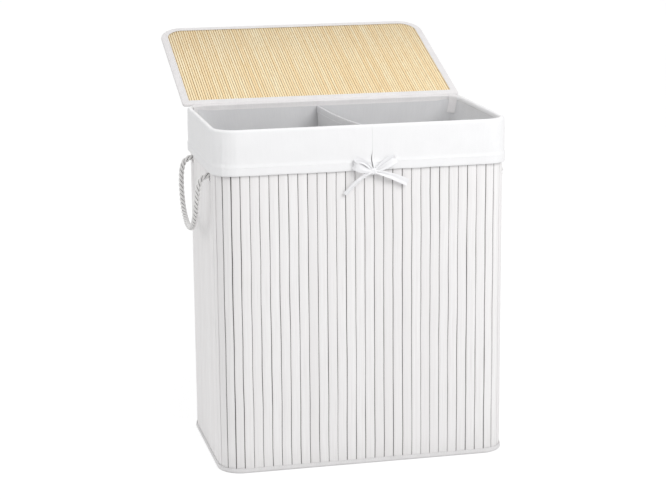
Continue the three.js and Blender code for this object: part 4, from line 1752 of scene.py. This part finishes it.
    def stitches(self, name: str, out: float, height: float, sign: int) -> Piece:
        """Sews a row of stitches along both halves.

        Args:
            name: The new piece's name.
            out: How far out the row lies in the plain section.
            height: Its height there.
            sign: 1 where it lies on the outside, -1 where it lies on the inside.

        Returns:
            The stitches.
        """
        rows = []
        for side in (-1, 1):
            line = self.run(side, self.stitch_off, (26, 72, 36))
            faces = [BASKET_PLAN.face(w, sign) for w in line]
            points = [self.surface(w, out, height, side) + face * 0.5 for w, face in zip(line, faces)]
            rows.append(SEWING.sew(name, points, faces))
        return joined(rows, name)

    def hem_ribbon(self, name: str, side: int) -> Piece:
        """Lays the ribbon inside one half's hem and brings it out of the slit into the knot.

        Args:
            name: The new piece's name.
            side: -1 for the left half, 1 for the right one.

        Returns:
            The ribbon.
        """
        line = self.run(side, self.ribbon_off / BASKET_FLAT, (16, 60, 30))
        _, front, middle = self.knot
        rows = []
        for share in even(0.0, 1.0, 4):
            height = self.ribbon_bottom + self.ribbon_width * share
            row = [self.surface(w, self.hem_out - self.hem_radius, height, 0) for w in line]
            near = row[-1] if side < 0 else row[0]
            gather = (share - 0.5) * self.ribbon_gather
            way_out = smooth_line([
                near, Vector((SEAM_X + side * 3.6, near.y - 0.8, middle + 4 + gather * 1.1)),
                Vector((SEAM_X + side * 1.2, near.y - 3.4, middle + 2.0 + gather)),
                Vector((SEAM_X + side * 1.2, front + 2.0, middle + gather * 0.6)),
            ], 4)[1:]
            rows.append([*row, *way_out] if side < 0 else [*way_out[::-1], *row])
        return lay(name, rows, self.ribbon_thickness)

    def build(self) -> None:
        """Builds the cuff's two halves and its stitches, the ribbon in its hem and the bow."""
        seam_row = self.stitches("cuff_seam_stitches", self.inner, self.inner_end + 1.2, -1)
        hem_row = self.stitches("cuff_hem_stitches", self.hem_out, self.hem_stitch, 1)
        settle(seam_row, THREAD, Body.BASKET)
        settle(hem_row, THREAD, Body.BASKET)
        bow = Bow().build()
        for name, side, length in (("left", -1, 0.552), ("right", 1, 0.527)):
            piece = self.half(f"cuff_{name}", side)
            settle(piece, LINER, Body.BASKET, f"cuff_{name}_half")
            ribbon = self.hem_ribbon(f"hem_ribbon_{name}_run", side)
            settle(ribbon, RIBBON, Body.BASKET, f"hem_ribbon_{name}")


@dataclass(frozen=True)
class Run:
    """One loop or tail of the bow: where its ribbon goes from the knot, and how it turns on the way.

    The route's points are right, forward and up from the knot's middle, and each turn is the ribbon's own
    angle there, in degrees: 0 is upright and flat to the front.
    """

    name: str
    route: tuple[Place, ...]
    turns: tuple[float, ...]
    widths: tuple[float, ...]
    crease: float


BOW_RUNS = (
    Run(
        "bow_left_loop_ribbon",
        (
            (-3, 1.0, 0.5), (-11, 5.0, 1.8), (-21, 7.4, 5.0), (-30, 6.4, 9.0), (-34, 2.6, 12.5),
            (-32.5, -0.8, 17), (-26, -1.8, 19.5), (-16, -1.6, 16), (-8, -0.6, 9), (-3, 0, 3.5),
        ),
        (10, 14, 18, 18, 14, 12, 20, 24, 20, 12), (5, 8, 11.5, 13.5, 13.5, 12, 9.5, 8, 6.5, 5), 0.9,
    ),
    Run(
        "bow_right_loop_ribbon",
        (
            (3, 1.4, 1.5), (11, 4.8, 5), (21, 6.6, 10.5), (31, 5.4, 16), (37, 1.8, 19.5),
            (35.5, -0.8, 22), (27, -1.6, 20.2), (17, -1.2, 14), (8, -0.4, 7.5), (3, 0, 3),
        ),
        (-24, -26, -28, -28, -26, -26, -30, -34, -30, -26), (5, 8, 10.5, 11.5, 11.5, 10.5, 9.5, 8, 6.5, 5), 1.0,
    ),
    Run(
        "bow_left_tail_ribbon",
        (
            (-2.5, 2.2, -1), (-12, 3.6, -3.2), (-23, 2.8, -10), (-33.5, 1.0, -19),
            (-43, -1.4, -29.5), (-50.5, -3.4, -38.5),
        ),
        (-14, -22, -30, -35, -38, -40), (4.5, 6.0, 6.8, 7.2, 7.4, 7.6), 1.8,
    ),
    Run(
        "bow_right_tail_ribbon",
        ((2.5, 2.2, -1), (10, 4.2, -2), (20, 3.8, -5), (33, 2.2, -10), (47, 0.2, -16), (60.5, -1.4, -22.5)),
        (-12, -12, -16, -20, -22, -22), (4.5, 7.5, 9.5, 11, 12.4, 13), 1.6,
    ),
)


@dataclass
class Bow:
    """The bow that ties the ribbon in front: its knot, two loops and two tails."""

    centre: Place = (14.5, -168.0, 528.5)
    thickness: float = 0.6
    across: int = 8
    steps: int = 7
    knot_size: Place = (7.6, 4.6, 6.2)

    def spot(self, right: float, forward: float, up: float) -> Vector:
        """Turns a place counted from the knot's middle into a point."""
        return Vector((self.centre[0] + right, self.centre[1] - forward, self.centre[2] + up))

    def ribbon(self, run: Run) -> Piece:
        """Lays one loop or tail along its route, creased lengthwise.

        Args:
            run: The loop or tail.

        Returns:
            The ribbon.
        """
        line = smooth_line([self.spot(*p) for p in run.route], self.steps)
        turns = smooth_line([(t, w, 0) for t, w in zip(run.turns, run.widths)], self.steps)
        rows = [[] for _ in range(self.across + 1)]
        for i, point in enumerate(line):
            ahead = heading(line, i)
            turn, width = math.radians(turns[i].x), turns[i].y
            wide = Vector((math.sin(turn), 0.0, math.cos(turn)))
            wide = (wide - ahead * wide.dot(ahead)).normalized()
            face = wide.cross(ahead).normalized()
            share = i / (len(line) - 1)
            tight = 1.15 - math.sin(math.pi * share) if "loop" in run.name else 1.15 - share
            for k in range(self.across + 1):
                v = k / self.across - 0.5
                fold = run.crease * tight * math.cos(math.tau * 1.5 * v + 0.6)
                cup = run.crease * 0.5 * (1 - 4 * v * v)
                crumple = 0.45 * wander(share * 7, v * 2.5, 30.0 + len(run.name))
                rows[k].append(point + wide * v * width + face * (fold * 0.55 + cup + crumple))
        return lay(run.name, rows, self.thickness)

    def knot(self) -> Piece:
        """Shapes the knot from a ball: drawn in at the waist, with folds that run up and down over it.

        Returns:
            The knot.
        """
        choose()
        bpy.ops.mesh.primitive_uv_sphere_add(segments=32, ring_count=20, radius=MM)
        piece = named(bpy.context.object, "bow_knot_ribbon")
        half_x, half_y, half_z = self.knot_size
        for vert in piece.data.vertices:
            x, y, z = (c / MM for c in vert.co)
            turn = math.atan2(z, y)
            folds = 1 + 0.09 * math.sin(x * 9.0 + 1.2 * math.sin(turn)) + 0.05 * wander(x * 2, turn, 12.0)
            boxed = 0.86 + 0.14 * abs(math.sin(2 * turn))
            waist = 1.0 - 0.10 * (1 - abs(x)) ** 2
            forward = -y * half_y * folds * waist * boxed
            vert.co = self.spot(x * half_x * boxed, forward, z * half_z * folds * waist) * MM
        with edit_mode(piece, whole=True):
            bpy.ops.mesh.normals_make_consistent(inside=False)
        for corner in piece.data.uv_layers[0].data:
            corner.uv = (corner.uv[0] * 0.03, corner.uv[1] * 0.02)
        smooth(piece, 80)
        return piece

    def build(self) -> list[Piece]:
        """Builds the bow.

        Returns:
            Its pieces.
        """
        pieces = [settle(self.knot(), RIBBON, Body.BASKET, "bow_knot")]
        for run in BOW_RUNS:
            pieces.append(settle(self.ribbon(run), RIBBON, Body.BASKET, run.name.replace("_ribbon", "")))
        return pieces


@dataclass
class RimLoops:
    """Loops of tape over the rim at the rear corners, which hold the liner's rear edge."""

    start: float = 0.311
    stop: float = 0.556
    thickness: float = 0.9
    stand_off: float = 0.9
    leg_end: float = 589.0
    inner_end: float = 575.5
    hold: float = 2.0
    right_more: float = 0.1
    stitch_off: float = 0.75
    stitch_top: float = 603.0
    stitch_inset: float = 0.14
    liner: Liner = field(default_factory=Liner)
    cuff: Cuff = field(default_factory=Cuff)

    def spot(self, way: float, out: float, height: float) -> Vector:
        """Gives a place on a loop, which follows the liner's wall inside and the basket's outline outside.

        Args:
            way: The way round the basket.
            out: How far out of the outline it lies.
            height: Its height.

        Returns:
            The place.
        """
        if out > WALL_MIDDLE:
            return BASKET_PLAN.point(way, out, height)
        plan = self.liner.plan(height)
        inward = self.liner.crease(plan.point(way, out, height), height)
        return plan.point(way, out - inward, height)

    def loop(self, name: str, start: float, stop: float) -> Piece:
        """Lays one loop over the rim, between two ways.

        Args:
            name: The new piece's name.
            start: The way at which it starts.
            stop: The way at which it ends.

        Returns:
            The loop.
        """
        cuff, steps = self.cuff, 8
        inner = [(cuff.inner, height) for height in even(self.inner_end, cuff.fold_height, 6)[:-1]]
        fold = bend((WALL_MIDDLE, cuff.fold_height), cuff.fold_radius, math.pi, 0.0, 10)
        outer = [(cuff.outer, height) for height in even(cuff.fold_height, self.leg_end, 4)[1:]]
        wider = 1 + self.stand_off / cuff.fold_radius
        rows = []
        for out, height in [*inner, *fold, *outer]:
            row = []
            for i, way in enumerate(even(start, stop, steps)):
                bulge = 0.3 * math.sin(math.pi * i / steps) * (out - WALL_MIDDLE) / cuff.fold_radius
                row.append(self.spot(way, WALL_MIDDLE + (out - WALL_MIDDLE) * wider + bulge, height))
            rows.append(row)
        return lay(name, rows, self.thickness)

    def hold_line(self, start: float, stop: float, out: float, foot: float) -> list[Vector]:
        """Lists the points of the stitches down one edge of a loop's leg, across its foot and up again.

        Args:
            start: The way at which the loop starts.
            stop: The way at which it ends.
            out: How far out of the outline the stitches lie.
            foot: The height of the row across its foot.

        Returns:
            The points.
        """
        inset = (stop - start) * self.stitch_inset
        left, right, steps = start + inset, stop - inset, 5
        corners = [(left, self.stitch_top), (left, foot), (right, foot), (right, self.stitch_top)]
        line = []
        for (w0, z0), (w1, z1) in zip(corners, corners[1:]):
            line += [self.spot(w, out, z) for w, z in zip(even(w0, w1, steps)[:-1], even(z0, z1, steps))]
        return line

    def build(self) -> None:
        """Builds both loops and the stitches along their edges."""
        right = (2 + self.start - self.right_more, 2 + self.stop)
        left = (5 - self.stop, 5 - self.start)
        for name, (start, stop) in {"right": right, "left": left}.items():
            piece = self.loop(f"rim_loop_{name}_tape", start, stop)
            settle(piece, BINDING, Body.BASKET, f"rim_loop_{name}")
            rows = []
            for leg, foot, sign in ((self.cuff.outer, self.leg_end, 1), (self.cuff.inner, self.inner_end, -1)):
                out = leg + self.stitch_off * sign + self.stand_off * sign
                line = self.hold_line(start, stop, out, foot + self.hold)
                rows.append((line, BASKET_PLAN.face((start + stop) / 2, sign)))
            stitch_rows(f"rim_loop_{name}_stitches", rows, Body.BASKET)


# ---- Lid


@dataclass
class Lid:
    """The lid: fine strips of plain bamboo inside, painted slats outside, and tape folded round its wire.

    Its pieces are modelled closed, with the hinge line as X axis, and are then turned open.
    """

    half_width: float = 264.75
    depth: float = 323.78
    front_radius: float = 45.0
    rear_radius: float = 6.0
    nose: float = 3.45
    thickness: float = 6.9
    tape: float = 0.8
    reach: float = 13.5
    stitch_in: float = 2.2
    stitch_off: float = 0.12
    hinge: Place = (0.0, 159.33, 609.6)
    open_degrees: float = 160.57
    behind: float = -0.3
    mat_inset: float = 5.9
    strips: int = 112
    strip: float = 1.0
    strip_edge: float = 0.32
    strip_face: float = 1.1
    strip_gap: float = 1.15
    slats: int = 31
    slat_face: float = 5.8
    backing: float = 0.6
    hinge_half: float = 217.0
    leaf: float = 34.0
    leaf_foot: Pair = (160.85, 564.0)
    leaf_turn: tuple[Pair, ...] = ((161.6, 601.4), (164.4, 603.2), (169.2, 604.9))
    rim_row_face: float = 161.75
    rim_rows: Pair = (566.5, 593.5)
    lid_rows: Pair = (16.5, 45.0)
    draw: random.Random = field(default_factory=lambda: random.Random(110))

    def plan(self) -> Plan:
        """Gives the lid's outline about its own middle."""
        return Plan(self.half_width, self.depth / 2, self.front_radius, self.rear_radius)

    def turn(self) -> float:
        """Gives the open lid's turn about the hinge line, in radians."""
        return -math.radians(self.open_degrees)

    def opened(self, piece: Piece) -> Piece:
        """Turns a piece from the lid's closed place about the origin to its open place on the basket.

        Args:
            piece: The piece.

        Returns:
            The piece.
        """
        turn = Matrix.Rotation(self.turn(), 4, "X")
        shift = Matrix.Translation((0, (self.behind - self.depth / 2) * MM, 0))
        piece.data.transform(Matrix.Translation(Vector(self.hinge) * MM) @ turn @ shift)
        return piece

    def on_lid(self, y: float, z: float) -> Pair:
        """Gives the open place, as Y and Z, of a point of the closed lid behind and above the hinge line.

        Args:
            y: Its Y from the hinge line.
            z: Its height over that line.

        Returns:
            The place.
        """
        turn = self.turn()
        return (
            self.hinge[1] + y * math.cos(turn) - z * math.sin(turn),
            self.hinge[2] + y * math.sin(turn) + z * math.cos(turn),
        )

    def binding(self) -> Piece:
        """Folds the tape round the lid's edge.

        Returns:
            The tape.
        """
        middle, steps = self.tape / 2, 4
        fold = bend((-self.nose, self.nose), self.nose - middle, -QUARTER, QUARTER, 10)
        span = self.reach - self.nose
        inner = [(-self.reach + span * i / steps, middle) for i in range(steps)]
        outer = [(-self.nose - span * (i + 1) / steps, self.thickness - middle) for i in range(steps)]
        line = ways(*WAY_ROUND, 16, 90, 56)
        section = [*inner, *fold, *outer]
        rows = []
        for k, (out, height) in enumerate(section):
            edge = 0.35 if k in (0, len(section) - 1) else 0.0
            deep = 0.16 if out < -self.nose - 1 else 0.0
            row = []
            for w in line:
                sway = edge * wander(w * 11, 0.0, 41.0)
                corner = max(0.0, 1 - abs((w % 8) - 6.5) / 0.6) + max(0.0, 1 - abs((w % 8) - 0.5) / 0.6)
                pucker = deep * corner * math.sin(w * 70)
                row.append(self.plan().point(w, out + sway, height + (pucker if height > self.nose else -pucker)))
            rows.append(row)
        return lay("lid_tape", rows, self.tape, ring=True)

    def stitches(self, name: str, height: float, sign: int) -> Piece:
        """Sews the tape along its edge on one face of the lid.

        Args:
            name: The new piece's name.
            height: The row's height on the closed lid.
            sign: 1 on the outer face, -1 on the inner one.

        Returns:
            The stitches.
        """
        line = ways(*WAY_ROUND, 14, 60, 36)
        points = [self.plan().point(w, -self.reach + self.stitch_in, height) for w in line]
        return SEWING.sew(name, points, [Vector((0, 0, sign))] * len(points))

    def mats(self) -> None:
        """Lays the lid's two mats and the cloth between them."""
        work = SlatWork(draw=self.draw)
        plan = self.plan().grown(-self.mat_inset)
        fine = work.flat(
            "lid_inner_strips", plan, self.strips, self.strip, self.strip_gap, self.strip_edge, self.draw.random,
        )
        fine.data.transform(Matrix.Translation((0, 0, self.strip_face * MM)))
        settle(self.opened(fine), STRAW, Body.LID, "lid_inner_mat")
        outer = work.flat(
            "lid_outer_slats", plan, self.slats, work.thickness, work.gap, work.edge, work.tone, trimmed=True,
        )
        turn_over(outer)
        outer.data.transform(Matrix.Translation((0, 0, self.slat_face * MM)))
        settle(self.opened(outer), PAINTED, Body.LID, "lid_outer_mat")
        # Both backings are painted dark: painted shade in the gaps between the strips and between the slats.
        for word, height, finish in (("inner", 2.42, STRAW_BACKING_PAINTED_SHADE), ("outer", 3.55, BACKING_PAINTED_SHADE)):
            cloth = lay(f"lid_{word}_backing", filled(plan, height), self.backing)
            settle(self.opened(cloth), finish, Body.LID)

    def leaf_height(self, along: float) -> float:
        """Gives how high the hinge's tape lies over the lid, this far from where it leaves the lid's binding."""
        return 7.65 - 1.2 * eased(min(1.0, along / 9))

    def tape_hinge(self) -> None:
        """Lays the cloth hinge: sewn to the rim behind, round the lid's rear edge and sewn to its outside."""
        leaf = [self.on_lid(-self.reach - along, self.leaf_height(along)) for along in even(0.0, self.leaf, 8)]
        rim = [(self.leaf_foot[0], self.leaf_foot[1] + up) for up in even(0.0, self.leaf, 6)]
        section = [*rim, *smooth_line([rim[-1], *self.leaf_turn, leaf[0]], 4)[1:-1], *leaf]
        rows = []
        for k, (y, z) in enumerate(section):
            loose = k > len(rim) + 1
            row = []
            for x in spread(self.hinge_half, 80):
                pucker = 0.15 * wander(x / 14, k / 3, 51.0)
                row.append(Vector((x, y + pucker * 0.5, z + (pucker if loose else 0.0))))
            rows.append(row)
        piece = lay("hinge_tape", rows, self.tape)
        settle(piece, BINDING, None, "hinge_tape_rim_leaf", "hinge_tape_lid_leaf")
        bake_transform(piece)
        xs = spread(self.hinge_half * 0.985, 40)
        rows = [([Vector((x, self.rim_row_face, z)) for x in xs], Vector((0, 1, 0))) for z in self.rim_rows]
        stitch_rows("hinge_tape_rim_stitches", rows, Body.BASKET)
        face = Vector((0, -math.sin(self.turn()), math.cos(self.turn())))
        spots = [self.on_lid(-down, self.leaf_height(down - self.reach) + 0.9) for down in self.lid_rows]
        rows = [([Vector((x, *spot)) for x in xs], face) for spot in spots]
        stitch_rows("hinge_tape_lid_stitches", rows, Body.LID)

    def build(self) -> None:
        """Builds the lid and its hinge."""
        settle(self.opened(self.binding()), BINDING, Body.LID, "lid_binding")
        faces = {"inner": (-self.stitch_off, -1), "outer": (self.thickness + self.stitch_off, 1)}
        for name, (height, sign) in faces.items():
            settle(self.opened(self.stitches(f"lid_{name}_stitches", height, sign)), THREAD, Body.LID)
        self.mats()
        self.tape_hinge()
        for node in ("rim_wire_frame", "base_wire_frame", "lid_wire_frame"):
            dresser.dress(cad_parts[node], STEEL)


ASSEMBLIES = (
    RopeHandle(Side.LEFT), RopeHandle(Side.RIGHT, knot_up=17.0), SlatWork(), Binding(), Liner(), Cuff(),
    RimLoops(), Lid(),
)


# ---- Studio


@dataclass
class Studio:
    """The camera at the photograph's viewing angle, plain soft light, and a white floor."""

    position: Place = (-0.76945, -3.2625, 1.12027)
    forward: Place = (0.21814, 0.95014, -0.2228)
    roll: float = -0.5
    lens: float = 102.18
    sky: float = 0.71
    key: float = 31.0
    key_size: float = 1.5
    key_at: Place = (0.95, -1.9, 1.85)
    key_aim: Place = (0.05, -0.1, 0.35)
    fill: float = 0.72
    fill_from: Place = (-0.93, 0.22, 0.34)
    fill_angle: float = 60.0
    floor_size: float = 80.0
    floor_glow: float = 1.32
    floor_share: float = 0.62

    def camera(self) -> None:
        """Sets up the camera."""
        data = bpy.data.cameras.new("camera")
        data.lens = self.lens
        data.sensor_width = 36.0
        data.clip_end = 100.0
        camera = bpy.data.objects.new("camera", data)
        bpy.context.scene.collection.objects.link(camera)
        aim = Vector(self.forward).to_track_quat("-Z", "Y").to_matrix().to_4x4()
        turn = Matrix.Rotation(math.radians(self.roll), 4, "Z")
        camera.matrix_world = Matrix.Translation(self.position) @ aim @ turn
        bpy.context.scene.camera = camera

    def light(self, name: str, kind: str, away: Vector, at: Place, **settings: object) -> None:
        """Adds a light.

        Args:
            name: Its name.
            kind: Its type, AREA or SUN.
            away: The direction from what it lights.
            at: Its place.
            **settings: Attributes of the light.
        """
        data = bpy.data.lights.new(name, kind)
        for key, value in settings.items():
            setattr(data, key, value)
        lamp = bpy.data.objects.new(name, data)
        lamp.matrix_world = Matrix.Translation(at) @ away.to_track_quat("Z", "Y").to_matrix().to_4x4()
        bpy.context.scene.collection.objects.link(lamp)

    def lights(self) -> None:
        """Sets up the sky, the key light and the fill."""
        world = bpy.data.worlds.new("sky")
        world.use_nodes = True
        bpy.context.scene.world = world
        sky = Nodes(world.node_tree)
        background = sky.tree.nodes["Background"].inputs
        sky.feed(background["Color"], (1, 1, 1, 1))
        sky.feed(background["Strength"], sky.span(sky.seen(), 0.0, 1.0, self.sky, 1.0))
        away = Vector(self.key_at) - Vector(self.key_aim)
        self.light("key", "AREA", away, self.key_at, shape="DISK", energy=self.key, size=self.key_size)
        angle = math.radians(self.fill_angle)
        self.light("fill", "SUN", Vector(self.fill_from), (0, 0, 0), energy=self.fill, angle=angle)

    def floor(self) -> None:
        """Lays the white floor, which keeps the hamper's shadow."""
        choose()
        bpy.ops.mesh.primitive_plane_add(size=self.floor_size)
        ground = named(bpy.context.object, "floor")
        with edit_mode(ground, "FACE", whole=True):
            bpy.ops.mesh.subdivide(number_cuts=3)
        shade = Shade("white_floor")
        grain = shade.noise(shade.stretched("Object"), 3.0)
        shade.paint(shade.mixed(grain, colour(214, 214, 214), colour(210, 210, 210)), 0.9)
        shade.plain(Specular_IOR_Level=0.0)
        glow = shade.node("Emission", {"Color": (1, 1, 1, 1), "Strength": self.floor_glow})
        share = shade.math("MULTIPLY", shade.seen(), self.floor_share)
        both = shade.node("MixShader", {0: share, 1: shade.shader.outputs[0], 2: glow.outputs[0]})
        shade.feed(shade.tree.nodes["Material Output"].inputs["Surface"], both.outputs[0])
        ground.data.materials.append(shade.material)

    def build(self) -> None:
        """Builds the studio."""
        bpy.context.scene.view_settings.view_transform = "Standard"
        self.camera()
        self.lights()
        self.floor()


def main() -> None:
    """Builds the studio and then the hamper, one assembly after another."""
    logging.basicConfig(level=logging.INFO, format="%(message)s")
    Studio().build()
    for assembly in ASSEMBLIES:
        assembly.build()


if __name__ == "__main__":
    main()
